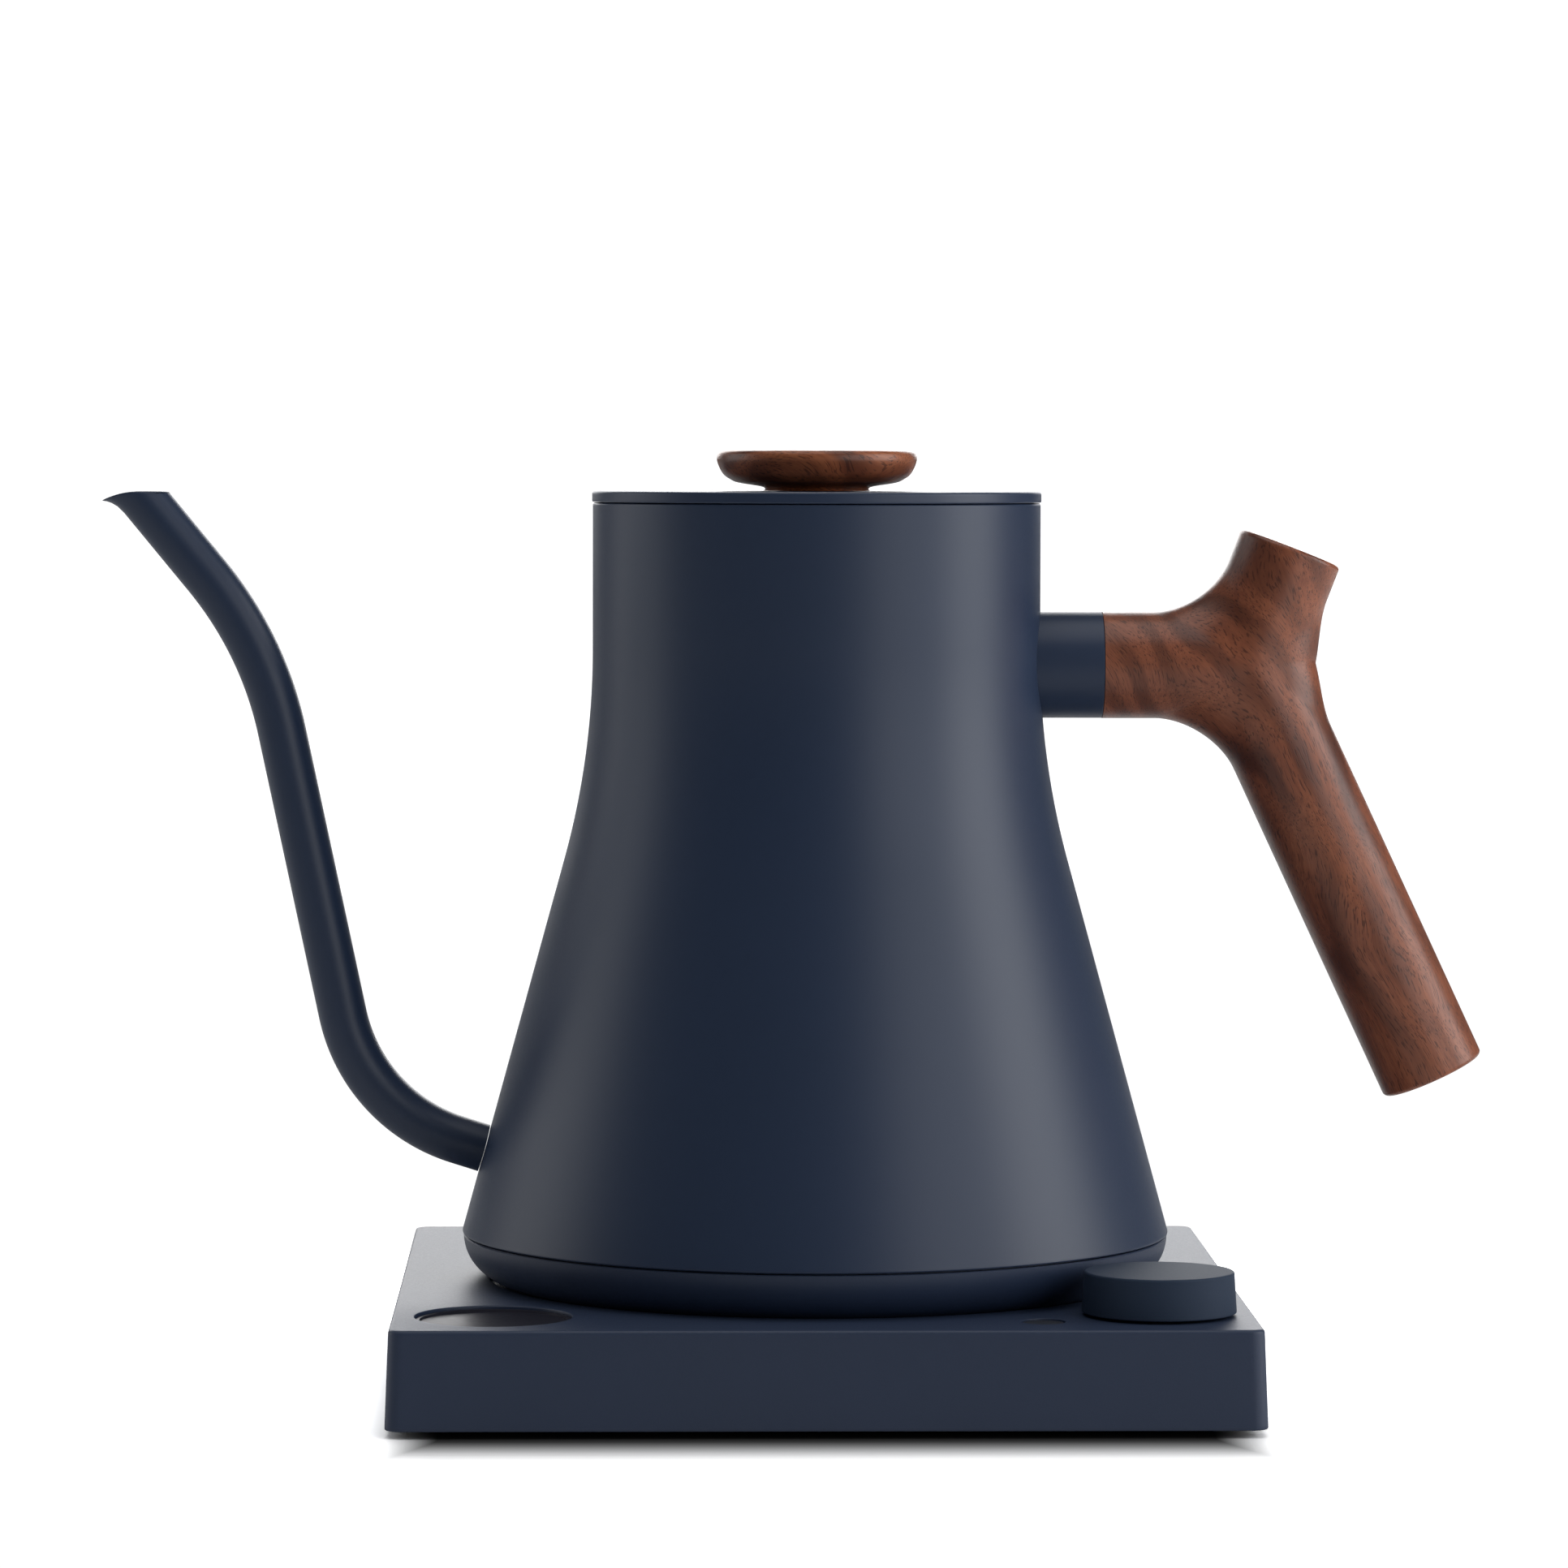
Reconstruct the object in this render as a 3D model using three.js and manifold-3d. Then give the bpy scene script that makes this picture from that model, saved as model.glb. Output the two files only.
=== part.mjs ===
// Electric gooseneck kettle with a lift-off lid, standing on a square heating base with a dial.
// Lengths are millimetres and angles degrees. +X runs from spout to handle, +Y to the back, +Z up.
// Every piece is placed from the kettle's own vertical axis; the last lines move the whole
// assembly so that the origin is under the middle of its bounding box.
import * as THREE from 'three';
import { mergeVertices } from 'three/addons/utils/BufferGeometryUtils.js';
import Module from 'manifold-3d';

const wasm = await Module();
wasm.setup();

// ---------------------------------------------------------------- driving dimensions
const GAP = 0.3; // left between two pieces that touch
const ROUND_SIDES = 40; // facets round a large turned piece
const MEDIUM_SIDES = 24;
const SMALL_SIDES = 12; // facets round a small one
const MERGE_TOLERANCE = 1e-4;

const base = {
  width: 175.4, // across the foot of the sides
  draft: 2.1, // lean of the sides
  skirtZ: 1.5, // lower rim of the housing
  topZ: 21.5,
  cornerR: 2.9,
  edgeR: 0.7,
  wall: 2.2,
  deck: 2.2,
};
const well = { r: 68.6, depth: 1.8, bevel: 0.4, floor: 2.2, skirt: 1.8, holeR: 15 };
const bottomPlate = { z0: 1, step: 1.2, flange: 2, padInset: 10, clear: 0.5 };
const foot = { r: 8, at: 66, pocketZ: 1.8, bevel: 0.5 };
const caseScrew = { x: 71, y: 38, headR: 2.9, headH: 1.6, shankR: 1.45, length: 10, bossR: 3.3 };

const display = { x: -66.5, y: -64.5, holeR: 15.85, recess: 1, flangeR: 17.2, flangeH: 1 };
const displayModule = { half: 13.5, height: 3, carrierWall: 2 };
const statusLight = { x: 43.6, y: -73.6, holeR: 4.4, stemR: 1.8, recess: 0.1, discDrop: 0.4 };
const led = { halfX: 1.6, halfY: 0.9, height: 1.6 };
const dial = {
  x: 67.6,
  y: -63.5,
  topR: 15.15,
  footR: 15.65,
  height: 8.3,
  lift: 0.6, // above the deck
  skin: 2.4,
  hubR: 5,
  edge: 0.5, // bevel of the top rim
};
const encoder = { size: 12.5, height: 6.5, bushR: 3.6, shaftR: 3, boreR: 2.05 };
const rotor = { flangeR: 5, flangeH: 1.6, lift: 0.8, chamberH: 3, shaftDrop: 0.5 };
const dialShaft = { r: 1.95, z0: 10, z1: 27 };
const board = { z0: 6.4, thick: 1.6 };
const powerBoard = { x: 62, y0: 34, y1: 76 };
const controlBoard = { x: 80, y0: -82, y1: -48 };
const linkCable = { halfX: 6, overFront: 4, overBack: 8, thick: 0.8 };
const transformer = { x0: -47, x1: -29, y0: 47, y1: 63 };
const relay = { x0: 26, x1: 46, y0: 49, y1: 61 };
const terminals = { halfX: 12, y0: 66, y1: 75 };
const capacitor = { x0: -24, x1: -9, y: 46, r: 4 };
const plug = { terminalR: 12, terminalZ: 9.6, flangeR: 22, flangeZ: 12.5 };

const gland = { z: 12, holeR: 5, boreR: 3.4, flangeR: 6.2, flangeH: 2, gapToWall: 1, reach: 1.5 };
const holdSwitch = {
  x: 45,
  z: 12,
  slot: 9,
  slotH: 3.6,
  travel: 3.5,
  bodyHalfX: 7,
  bodyHalfZ: 3.5,
  bodyY0: 77,
  faceY: 82,
  channelDepth: 2,
  sliderEndY: 86.9,
};
const wire = { r: 1.1, z: 11, sides: 6, steps: 6 };
const liveRoute = [[28, 38], [18, 20], [12, 8]]; // plan of the live wire from relay to plug
const sideWire = { x: 4.5, middleY: 40, endY: 13 }; // neutral and earth, left and right of centre

const shell = {
  neckR: 47,
  rimZ: 184.3,
  flareTopZ: 153.7, // the straight neck ends here
  flareR: 167,
  coneAngle: 15.4, // of the side from the vertical
  footZ: 31.6,
  seamZ: 31.1,
  wall: 1,
};
const bowl = { z0: 20, topZ: 30.8, r: 74.1, flatR: 60, power: 2.15, wall: 1.8, holeR: 18 };
const tongue = { inset: 1.5, height: 3.4, thick: 1.4 }; // ring on the bowl that enters the shell
const heaterPlate = { topZ: 41, thick: 0.8, flangeZ: 35.2 };
const coverScrew = {
  ringR: 52,
  bossR: 3.4,
  bossZ: 27.3,
  postR: 5.2,
  headR: 3.2,
  headH: 1.7,
  boreH: 2.3,
  shankR: 1.4,
  topZ: 34,
};
const spreader = { r: 46, z0: 36.9, thick: 3 };
const element = { ringR: 40, tubeR: 3.3, gapAngle: 60, steps: 24, sides: 8 };
// The wire from an element end to the socket, for the side with positive Y.
const elementWireRoute = [
  [-35.5, 18.4, 33.3],
  [-30, 15.8, 31],
  [-22, 13.5, 28],
  [-15.2, 10.9, 27],
];
const cutout = { x: -28.2, r: 7.5, height: 6.3 };
const probe = { y: 28, r: 2.5, below: 7, topZ: 47, tip: 1, sealR: 3.9, rimReach: 1.6, rimH: 1.2 };
const socket = {
  r: 17.5,
  boreR: 13.5,
  flangeR: 19.8,
  flangeH: 3.4,
  mouthZ: 20.6,
  mouthBevel: 0.6,
  capZ: 31.6,
  topZ: 36.6,
};
const crown = {
  r: 13,
  z0: 20.2,
  topZ: 31,
  bevel: 1.2,
  pinR: 2.2,
  ringR: 6.7,
  ringHalf: 0.5,
  contactZ: 24.5, // lower end of the pins that enter it
  slotFloorZ: 23.5,
};

// The spout's centre line lies in the XZ plane: mouth, two bends, and the root in the wall.
const spout = {
  r: 5.05,
  wall: 0.8,
  mouth: [-142.3, 186.6],
  upperBend: { at: [-116.1, 154.7], r: 76 },
  lowerBend: { at: [-95.2, 56.5], r: 35.6 },
  root: [-66.4, 47.4],
  overrun: 8, // length past the mouth that the level cut takes off
  boreReach: 10, // half length of the hole through the wall of the body
  steps: 32,
  lipReach: 1.2,
  lipDrop: 2,
  lipHeight: 4,
};

const handle = {
  r: 11.2,
  z: 150.5,
  ferruleR: 11.15,
  ferruleBoreR: 9.3,
  ferruleStartX: 40, // inside the wall, before it is trimmed to the body
  coreStartX: 53,
  ferruleEndX: 59.8,
  hubX: 90.2,
  stubAngle: 21, // stub and grip lean this far to the right of the vertical
  stubLength: 26.5,
  gripAngle: 25,
  gripLength: 95.5,
  edgeR: 1,
  crown: 0.6, // doming of the two cut ends
  squareFrom: 24, // distance from the hub where the rings of an arm are square to it
  sides: 20,
};
// Radius of the blend between the arms on each side of the junction, as a distance field sees it.
const handleBlend = { front: 10.8, back: 4.9 };
const stud = { padR: 6.5, padX: 50.5, r: 3, endX: 78 };
const insert = { r: 5, x0: 60.5, x1: 76 };

const lid = { r: 47.15, z0: 184.9, thick: 2, edgeR: 0.5, linerR: 44.6, linerZ: 174, linerWall: 0.8 };
const gasket = { r: 45.7, z0: 181.6, z1: 184.6 };
const knobScrew = { headR: 4, headH: 1.4, r: 2, topZ: 191.5 };
// Turned outline of the knob: radius and height.
const KNOB_OUTLINE = [
  [11.2, 187.2],
  [10.9, 187.6],
  [12, 187.95],
  [16.6, 188.7],
  [18.4, 189.5],
  [19.6, 190.4],
  [20.4, 191.7],
  [20.9, 193],
  [21, 193.9],
  [20.8, 194.8],
  [20.2, 195.3],
  [19, 195.5],
];

// ---------------------------------------------------------------- finishes
function finish(color, roughness, metalness) {
  return new THREE.MeshStandardMaterial({ color, roughness, metalness });
}

const powderCoat = finish('#2c3747', 0.5, 0.25);
const mouldedBlue = finish('#29323f', 0.6, 0);
const darkMoulding = finish('#10131a', 0.6, 0);
const walnut = finish('#6b3d2f', 0.5, 0);
const steel = finish('#b9bcc0', 0.28, 1);
const aluminium = finish('#c9ccd0', 0.45, 1);
const brass = finish('#c8a559', 0.3, 1);
const silicone = finish('#8f9296', 0.8, 0);
const darkSilicone = finish('#232529', 0.8, 0);
const rubber = finish('#1b1c1e', 0.9, 0);
const smokedLens = finish('#1b1d23', 0.12, 0);
const circuitBoard = finish('#1d5a3a', 0.5, 0);
const electronicBlack = finish('#17181a', 0.5, 0);
const liveRed = finish('#7d3b22', 0.5, 0);
const neutralBlue = finish('#2b62b5', 0.5, 0);
const earthGreen = finish('#7fae2b', 0.5, 0);

// ---------------------------------------------------------------- solids
function radians(degrees) {
  return THREE.MathUtils.degToRad(degrees);
}

// Closes a geometry: shared vertices become one, flat triangles go, and faces point out.
function closed(geometry) {
  const bare = geometry.clone();
  bare.deleteAttribute('normal');
  bare.deleteAttribute('uv');
  const merged = mergeVertices(bare, MERGE_TOLERANCE);
  const place = merged.attributes.position;
  const corner = [0, 1, 2].map(() => new THREE.Vector3());
  const kept = [];
  let volume = 0;
  for (let i = 0; i < merged.index.count; i += 3) {
    const face = [0, 1, 2].map((k) => merged.index.getX(i + k));
    if (new Set(face).size < 3) continue;
    face.forEach((vertex, k) => corner[k].fromBufferAttribute(place, vertex));
    volume += corner[0].dot(corner[1].cross(corner[2]));
    kept.push(face);
  }
  merged.setIndex(kept.flatMap(([a, b, c]) => (volume > 0 ? [a, b, c] : [a, c, b])));
  return merged;
}

function toManifold(geometry) {
  const solid = closed(geometry);
  return new wasm.Manifold(
    new wasm.Mesh({
      numProp: 3,
      vertProperties: new Float32Array(solid.attributes.position.array),
      triVerts: new Uint32Array(solid.index.array),
    }),
  );
}

function fromManifold(manifold) {
  const mesh = manifold.getMesh();
  const geometry = new THREE.BufferGeometry();
  geometry.setAttribute('position', new THREE.BufferAttribute(mesh.vertProperties, 3));
  geometry.setIndex(new THREE.BufferAttribute(mesh.triVerts, 1));
  return geometry;
}

function combine(first, others, operation) {
  const result = others.reduce((sum, next) => sum[operation](toManifold(next)), toManifold(first));
  return fromManifold(result);
}

function join(first, ...others) {
  return combine(first, others, 'add');
}

function cut(first, ...others) {
  return combine(first, others, 'subtract');
}

// A solid turned about the Z axis from [radius, height] points.
function turned(points, sides = ROUND_SIDES) {
  const outline = points.map(([r, z]) => new THREE.Vector2(r, z));
  return new THREE.LatheGeometry(outline, sides).rotateX(Math.PI / 2);
}

// A turned ring whose outline closes on itself.
function turnedRing(points, sides = ROUND_SIDES) {
  return turned([...points, points[0]], sides);
}

// A washer or bush standing on the Z axis.
function bush(innerR, outerR, z0, z1, sides = SMALL_SIDES) {
  return turnedRing([[innerR, z0], [outerR, z0], [outerR, z1], [innerR, z1]], sides);
}

function disc(r, z0, z1, sides = SMALL_SIDES) {
  return turned([[0, z0], [r, z0], [r, z1], [0, z1]], sides);
}

function block(low, high) {
  const size = high.map((value, i) => value - low[i]);
  const middle = high.map((value, i) => (value + low[i]) / 2);
  return new THREE.BoxGeometry(...size).translate(...middle);
}

// Stands a solid made about the Z axis on a point of the plan.
function at(geometry, x, y) {
  return geometry.translate(x, y, 0);
}

// Lays a solid made about the Z axis along +X, its height becoming the distance from the axis.
function alongX(geometry, z) {
  return geometry.rotateY(Math.PI / 2).translate(0, 0, z);
}

function alongY(geometry, x, z) {
  return geometry.rotateX(-Math.PI / 2).translate(x, 0, z);
}

function polygon(r, sides) {
  const corners = [];
  for (let i = 0; i < sides; i += 1) {
    const angle = (i / sides) * 2 * Math.PI;
    corners.push(new THREE.Vector2(r * Math.cos(angle), r * Math.sin(angle)));
  }
  return corners;
}

// A tube or rod swept along a curve.
function swept(path, r, boreR, sides, steps) {
  const section = new THREE.Shape(polygon(r, sides));
  if (boreR > 0) section.holes.push(new THREE.Path(polygon(boreR, sides)));
  return new THREE.ExtrudeGeometry(section, { steps, extrudePath: path });
}

// A square with rounded corners, extruded, its sides leaning in by `draft` above `fromZ`.
function draftedSquare(halfWidth, cornerR, z0, z1, edgeR) {
  const outline = new THREE.Shape();
  const inner = halfWidth - cornerR;
  [[1, 1], [-1, 1], [-1, -1], [1, -1]].forEach(([sx, sy], i) => {
    outline.absarc(sx * inner, sy * inner, cornerR, (i * Math.PI) / 2, ((i + 1) * Math.PI) / 2);
  });
  const solid = new THREE.ExtrudeGeometry(outline, {
    depth: z1 - z0 - 2 * edgeR,
    bevelEnabled: edgeR > 0,
    bevelThickness: edgeR,
    bevelSize: edgeR,
    bevelOffset: -edgeR,
    bevelSegments: 2,
    curveSegments: 3,
  }).translate(0, 0, z0 + edgeR);
  const lean = Math.tan(radians(base.draft));
  const place = solid.attributes.position;
  for (let i = 0; i < place.count; i += 1) {
    const inset = (place.getZ(i) - base.skirtZ) * lean;
    place.setX(i, place.getX(i) - Math.sign(place.getX(i)) * inset);
    place.setY(i, place.getY(i) - Math.sign(place.getY(i)) * inset);
  }
  return solid;
}

// A headed screw with its head down.
function screw(headR, z0, headH, shankR, z1) {
  return turned(
    [[0, z0], [headR, z0], [headR, z0 + headH], [shankR, z0 + headH], [shankR, z1], [0, z1]],
    SMALL_SIDES,
  );
}

const assembly = new THREE.Group();

function add(name, geometry, material) {
  const mesh = new THREE.Mesh(closed(geometry), material);
  mesh.name = name;
  assembly.add(mesh);
}

// ---------------------------------------------------------------- base case
const deckZ = base.topZ - base.deck; // underside of the deck
const wellZ = base.topZ - well.depth; // floor of the well
const dishZ = wellZ - well.floor;
const plateTopZ = bottomPlate.z0 + bottomPlate.step + bottomPlate.flange;
const FOUR_CORNERS = [[1, 1], [-1, 1], [-1, -1], [1, -1]];
const screwPlaces = FOUR_CORNERS.map(([sx, sy]) => [sx * caseScrew.x, sy * caseScrew.y]);
const screwHeadZ = bottomPlate.z0 + GAP;
const screwTopZ = screwHeadZ + caseScrew.length;

function makeHousing() {
  const outside = draftedSquare(base.width / 2, base.cornerR, base.skirtZ, base.topZ, base.edgeR);
  const inside = draftedSquare(base.width / 2 - base.wall, 1, base.skirtZ - 1, deckZ, 0);
  const dish = disc(well.r + well.skirt, dishZ, deckZ + 1, ROUND_SIDES);
  const bosses = screwPlaces.map(([x, y]) =>
    at(disc(caseScrew.bossR, plateTopZ + GAP, deckZ + 1), x, y));
  const shellAndBosses = join(cut(outside, inside), dish, ...bosses);
  const pocket = turned([
    [0, wellZ],
    [well.r, wellZ],
    [well.r, base.topZ - well.bevel],
    [well.r + well.bevel, base.topZ],
    [well.r + well.bevel, base.topZ + 1],
    [0, base.topZ + 1],
  ]);
  const plugHole = disc(well.holeR, dishZ - 1, wellZ + 1, ROUND_SIDES);
  const displayHole = at(disc(display.holeR, deckZ - 1, base.topZ + 1, MEDIUM_SIDES), display.x, display.y);
  const lightHole = at(disc(statusLight.holeR, deckZ - 1, base.topZ + 1), statusLight.x, statusLight.y);
  const shaftHole = at(disc(encoder.shaftR + GAP, deckZ - 1, base.topZ + 1), dial.x, dial.y);
  const wallY = base.width / 2;
  const cordHole = alongY(disc(gland.holeR, wallY - 5, wallY + 1), 0, gland.z);
  const switchHole = block(
    [holdSwitch.x - holdSwitch.slot / 2, wallY - 5, holdSwitch.z - holdSwitch.slotH / 2],
    [holdSwitch.x + holdSwitch.slot / 2, wallY + 1, holdSwitch.z + holdSwitch.slotH / 2],
  );
  const screwBores = screwPlaces.map(([x, y]) =>
    at(disc(caseScrew.shankR + GAP, plateTopZ, screwTopZ + 1), x, y));
  const openings = [pocket, plugHole, displayHole, lightHole, shaftHole, cordHole, switchHole];
  return cut(shellAndBosses, ...openings, ...screwBores);
}

function makeBottomPlate() {
  const flangeHalf = base.width / 2 - base.wall - bottomPlate.clear;
  const padHalf = base.width / 2 - bottomPlate.padInset;
  const padTop = bottomPlate.z0 + bottomPlate.step;
  const flange = block([-flangeHalf, -flangeHalf, padTop], [flangeHalf, flangeHalf, plateTopZ]);
  const pad = draftedSquare(padHalf, base.cornerR, bottomPlate.z0, padTop + 1, 0);
  const pockets = FOUR_CORNERS.map(([sx, sy]) =>
    at(disc(foot.r + GAP, bottomPlate.z0 - 1, foot.pocketZ), sx * foot.at, sy * foot.at));
  const headZ = screwHeadZ + caseScrew.headH + GAP;
  const bores = screwPlaces.flatMap(([x, y]) => [
    at(disc(caseScrew.headR + GAP, bottomPlate.z0 - 1, headZ), x, y),
    at(disc(caseScrew.shankR + GAP, bottomPlate.z0, plateTopZ + 1), x, y),
  ]);
  return cut(join(flange, pad), ...pockets, ...bores);
}

function makeFoot() {
  const topZ = foot.pocketZ - GAP;
  const outline = [[0, 0], [foot.r - foot.bevel, 0], [foot.r, foot.bevel], [foot.r, topZ], [0, topZ]];
  return turned(outline, MEDIUM_SIDES);
}

function addBaseCase() {
  add('base_housing', makeHousing(), mouldedBlue);
  add('base_bottom_plate', makeBottomPlate(), darkMoulding);
  FOUR_CORNERS.forEach(([sx, sy], i) => {
    add(`base_foot_${i + 1}`, at(makeFoot(), sx * foot.at, sy * foot.at), rubber);
  });
  screwPlaces.forEach(([x, y], i) => {
    const { headR, headH, shankR } = caseScrew;
    add(`base_screw_${i + 1}`, at(screw(headR, screwHeadZ, headH, shankR, screwTopZ), x, y), steel);
  });
}

// ---------------------------------------------------------------- display, status light and dial
const boardTopZ = board.z0 + board.thick;
const partZ = boardTopZ + GAP; // where a part on a circuit board starts

function addDisplay() {
  const glassZ = base.topZ - display.recess;
  const flangeZ = deckZ - GAP;
  const lens = turned([
    [0, flangeZ - display.flangeH],
    [display.flangeR, flangeZ - display.flangeH],
    [display.flangeR, flangeZ],
    [display.holeR - GAP, flangeZ],
    [display.holeR - GAP, glassZ],
    [0, glassZ],
  ], MEDIUM_SIDES);
  add('display_lens', at(lens, display.x, display.y), smokedLens);

  const { half, height, carrierWall } = displayModule;
  const moduleTopZ = flangeZ - display.flangeH - GAP;
  const moduleZ = moduleTopZ - height;
  const module = block([-half, -half, moduleZ], [half, half, moduleTopZ]);
  add('display_module', at(module, display.x, display.y), electronicBlack);

  const carrierTopZ = moduleZ - GAP;
  const rim = block([-half, -half, partZ], [half, half, carrierTopZ]);
  const inner = half - carrierWall;
  const hollow = block([-inner, -inner, partZ - 1], [inner, inner, carrierTopZ + 1]);
  add('display_carrier', at(cut(rim, hollow), display.x, display.y), darkMoulding);
}

function addStatusLight() {
  const ledTopZ = partZ + led.height;
  const discZ = deckZ - statusLight.discDrop;
  const faceZ = base.topZ - statusLight.recess;
  const pipe = turned([
    [0, ledTopZ + GAP],
    [statusLight.stemR, ledTopZ + GAP],
    [statusLight.stemR, discZ],
    [statusLight.holeR - GAP, discZ],
    [statusLight.holeR - GAP, faceZ],
    [0, faceZ],
  ], SMALL_SIDES);
  add('status_light_pipe', at(pipe, statusLight.x, statusLight.y), smokedLens);
  const chip = block([-led.halfX, -led.halfY, partZ], [led.halfX, led.halfY, ledTopZ]);
  add('status_led', at(chip, statusLight.x, statusLight.y), silicone);
}

function makeEncoderHousing() {
  const half = encoder.size / 2;
  const bodyTopZ = partZ + encoder.height;
  const can = block([-half, -half, partZ], [half, half, bodyTopZ]);
  const neck = disc(encoder.bushR, bodyTopZ - 1, deckZ - GAP);
  const chamber = disc(rotor.flangeR + GAP, partZ - 1, partZ + rotor.chamberH);
  const bore = disc(encoder.shaftR + 0.1, partZ, deckZ);
  return cut(join(can, neck), chamber, bore);
}

function makeEncoderRotor() {
  const z0 = partZ + rotor.lift;
  const flangeTopZ = z0 + rotor.flangeH;
  const z1 = base.topZ - rotor.shaftDrop;
  return turnedRing([
    [encoder.boreR, z0],
    [rotor.flangeR, z0],
    [rotor.flangeR, flangeTopZ],
    [encoder.shaftR, flangeTopZ],
    [encoder.shaftR, z1],
    [encoder.boreR, z1],
  ], SMALL_SIDES);
}

function makeDialKnob() {
  const z0 = base.topZ + dial.lift;
  const z1 = z0 + dial.height;
  const hubZ = z0 + 0.2; // the hub stays clear of the deck
  const innerR = dial.footR - dial.skin;
  const socketR = dialShaft.r + GAP;
  return turned([
    [0, dialShaft.z1 + GAP],
    [socketR, dialShaft.z1 + GAP],
    [socketR, hubZ],
    [dial.hubR, hubZ],
    [dial.hubR, z1 - dial.skin],
    [innerR, z1 - dial.skin],
    [innerR, z0],
    [dial.footR, z0],
    [dial.topR, z1 - dial.edge],
    [dial.topR - dial.edge, z1],
    [0, z1],
  ], MEDIUM_SIDES);
}

function addDial() {
  add('encoder_housing', at(makeEncoderHousing(), dial.x, dial.y), electronicBlack);
  add('encoder_rotor', at(makeEncoderRotor(), dial.x, dial.y), steel);
  add('dial_knob', at(makeDialKnob(), dial.x, dial.y), mouldedBlue);
  const pin = disc(dialShaft.r, dialShaft.z0, dialShaft.z1);
  add('dial_shaft', at(pin, dial.x, dial.y), steel);
}

// ---------------------------------------------------------------- electrics in the base
// A part that stands on the power board and ends just below the well.
function onBoard({ x0, x1, y0, y1 }) {
  return block([x0, y0, partZ], [x1, y1, dishZ - GAP]);
}

function addBoards() {
  const { x, y0, y1 } = controlBoard;
  add('control_board', block([-x, y0, board.z0], [x, y1, boardTopZ]), circuitBoard);
  const power = powerBoard;
  add('power_board', block([-power.x, power.y0, board.z0], [power.x, power.y1, boardTopZ]), circuitBoard);
  // The flat cable lies on both boards and passes under the plug.
  const { halfX, overFront, overBack, thick } = linkCable;
  const cable = block([-halfX, y1 - overFront, partZ], [halfX, power.y0 + overBack, partZ + thick]);
  add('link_cable', cable, silicone);
  add('transformer', onBoard(transformer), electronicBlack);
  add('relay', onBoard(relay), electronicBlack);
  const strip = { x0: -terminals.halfX, x1: terminals.halfX, y0: terminals.y0, y1: terminals.y1 };
  add('terminal_block', onBoard(strip), darkMoulding);
  const can = alongX(disc(capacitor.r, capacitor.x0, capacitor.x1), partZ + capacitor.r);
  add('capacitor', can.translate(0, capacitor.y, 0), aluminium);
}

function addPlug() {
  const body = turned([
    [0, plug.terminalZ],
    [plug.terminalR, plug.terminalZ],
    [plug.terminalR, plug.flangeZ],
    [plug.flangeR, plug.flangeZ],
    [plug.flangeR, dishZ - GAP],
    [well.holeR - GAP, dishZ - GAP],
    [well.holeR - GAP, crown.z0 - GAP],
    [0, crown.z0 - GAP],
  ]);
  add('coaxial_plug', body, darkMoulding);
  // The crown holds the two rings of contacts that the kettle's pins enter.
  const slotIn = crown.ringR - crown.ringHalf - GAP;
  const slotOut = crown.ringR + crown.ringHalf + GAP;
  const crownOutline = [
    [0, crown.z0],
    [crown.r, crown.z0],
    [crown.r, crown.topZ - crown.bevel],
    [crown.r - crown.bevel, crown.topZ],
    [slotOut, crown.topZ],
    [slotOut, crown.slotFloorZ],
    [slotIn, crown.slotFloorZ],
    [slotIn, crown.topZ],
    [crown.pinR + GAP, crown.topZ],
    [crown.pinR + GAP, crown.slotFloorZ],
    [0, crown.slotFloorZ],
  ];
  add('plug_crown', turned(crownOutline, MEDIUM_SIDES), darkMoulding);
}

function addCordGland() {
  const wallInY = base.width / 2 - base.wall;
  const seatY = wallInY - gland.gapToWall;
  const endY = wallInY + gland.reach;
  const sleeve = turnedRing([
    [gland.boreR, seatY - gland.flangeH],
    [gland.flangeR, seatY - gland.flangeH],
    [gland.flangeR, seatY],
    [gland.holeR - GAP, seatY],
    [gland.holeR - GAP, endY],
    [gland.boreR, endY],
  ], SMALL_SIDES);
  add('cord_gland', alongY(sleeve, 0, gland.z), rubber);
}

function addHoldSwitch() {
  const { x, z, slot, slotH, travel, faceY, bodyHalfX, bodyHalfZ } = holdSwitch;
  const channelY = faceY - holdSwitch.channelDepth;
  const low = [x - bodyHalfX, holdSwitch.bodyY0, z - bodyHalfZ];
  const body = block(low, [x + bodyHalfX, faceY, z + bodyHalfZ]);
  const channel = block([x - slot / 2, channelY, z - slotH / 2], [x + slot / 2, faceY + 1, z + slotH / 2]);
  add('hold_switch_body', cut(body, channel), electronicBlack);
  const left = x - slot / 2 + GAP;
  const width = slot - 2 * GAP - travel - GAP;
  const half = slotH / 2 - GAP;
  const end = [left + width, holdSwitch.sliderEndY, z + half];
  const slider = block([left, channelY + GAP, z - half], end);
  add('hold_switch_slider', slider, darkMoulding);
}

function makeWire(points, z) {
  const path = new THREE.CatmullRomCurve3(points.map(([x, y]) => new THREE.Vector3(x, y, z)));
  return swept(path, wire.r, 0, wire.sides, wire.steps);
}

function addBaseWires() {
  const start = [relay.x0 + 4, relay.y0 - GAP];
  add('mains_live_wire', makeWire([start, ...liveRoute], wire.z), liveRed);
  const straight = (x) => makeWire(
    [[x, terminals.y0 - GAP], [x, sideWire.middleY], [x, sideWire.endY]],
    wire.z,
  );
  add('mains_neutral_wire', straight(-sideWire.x), neutralBlue);
  add('mains_earth_wire', straight(sideWire.x), earthGreen);
}

// ---------------------------------------------------------------- kettle body
const flareAxisR = shell.neckR + shell.flareR;

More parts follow.
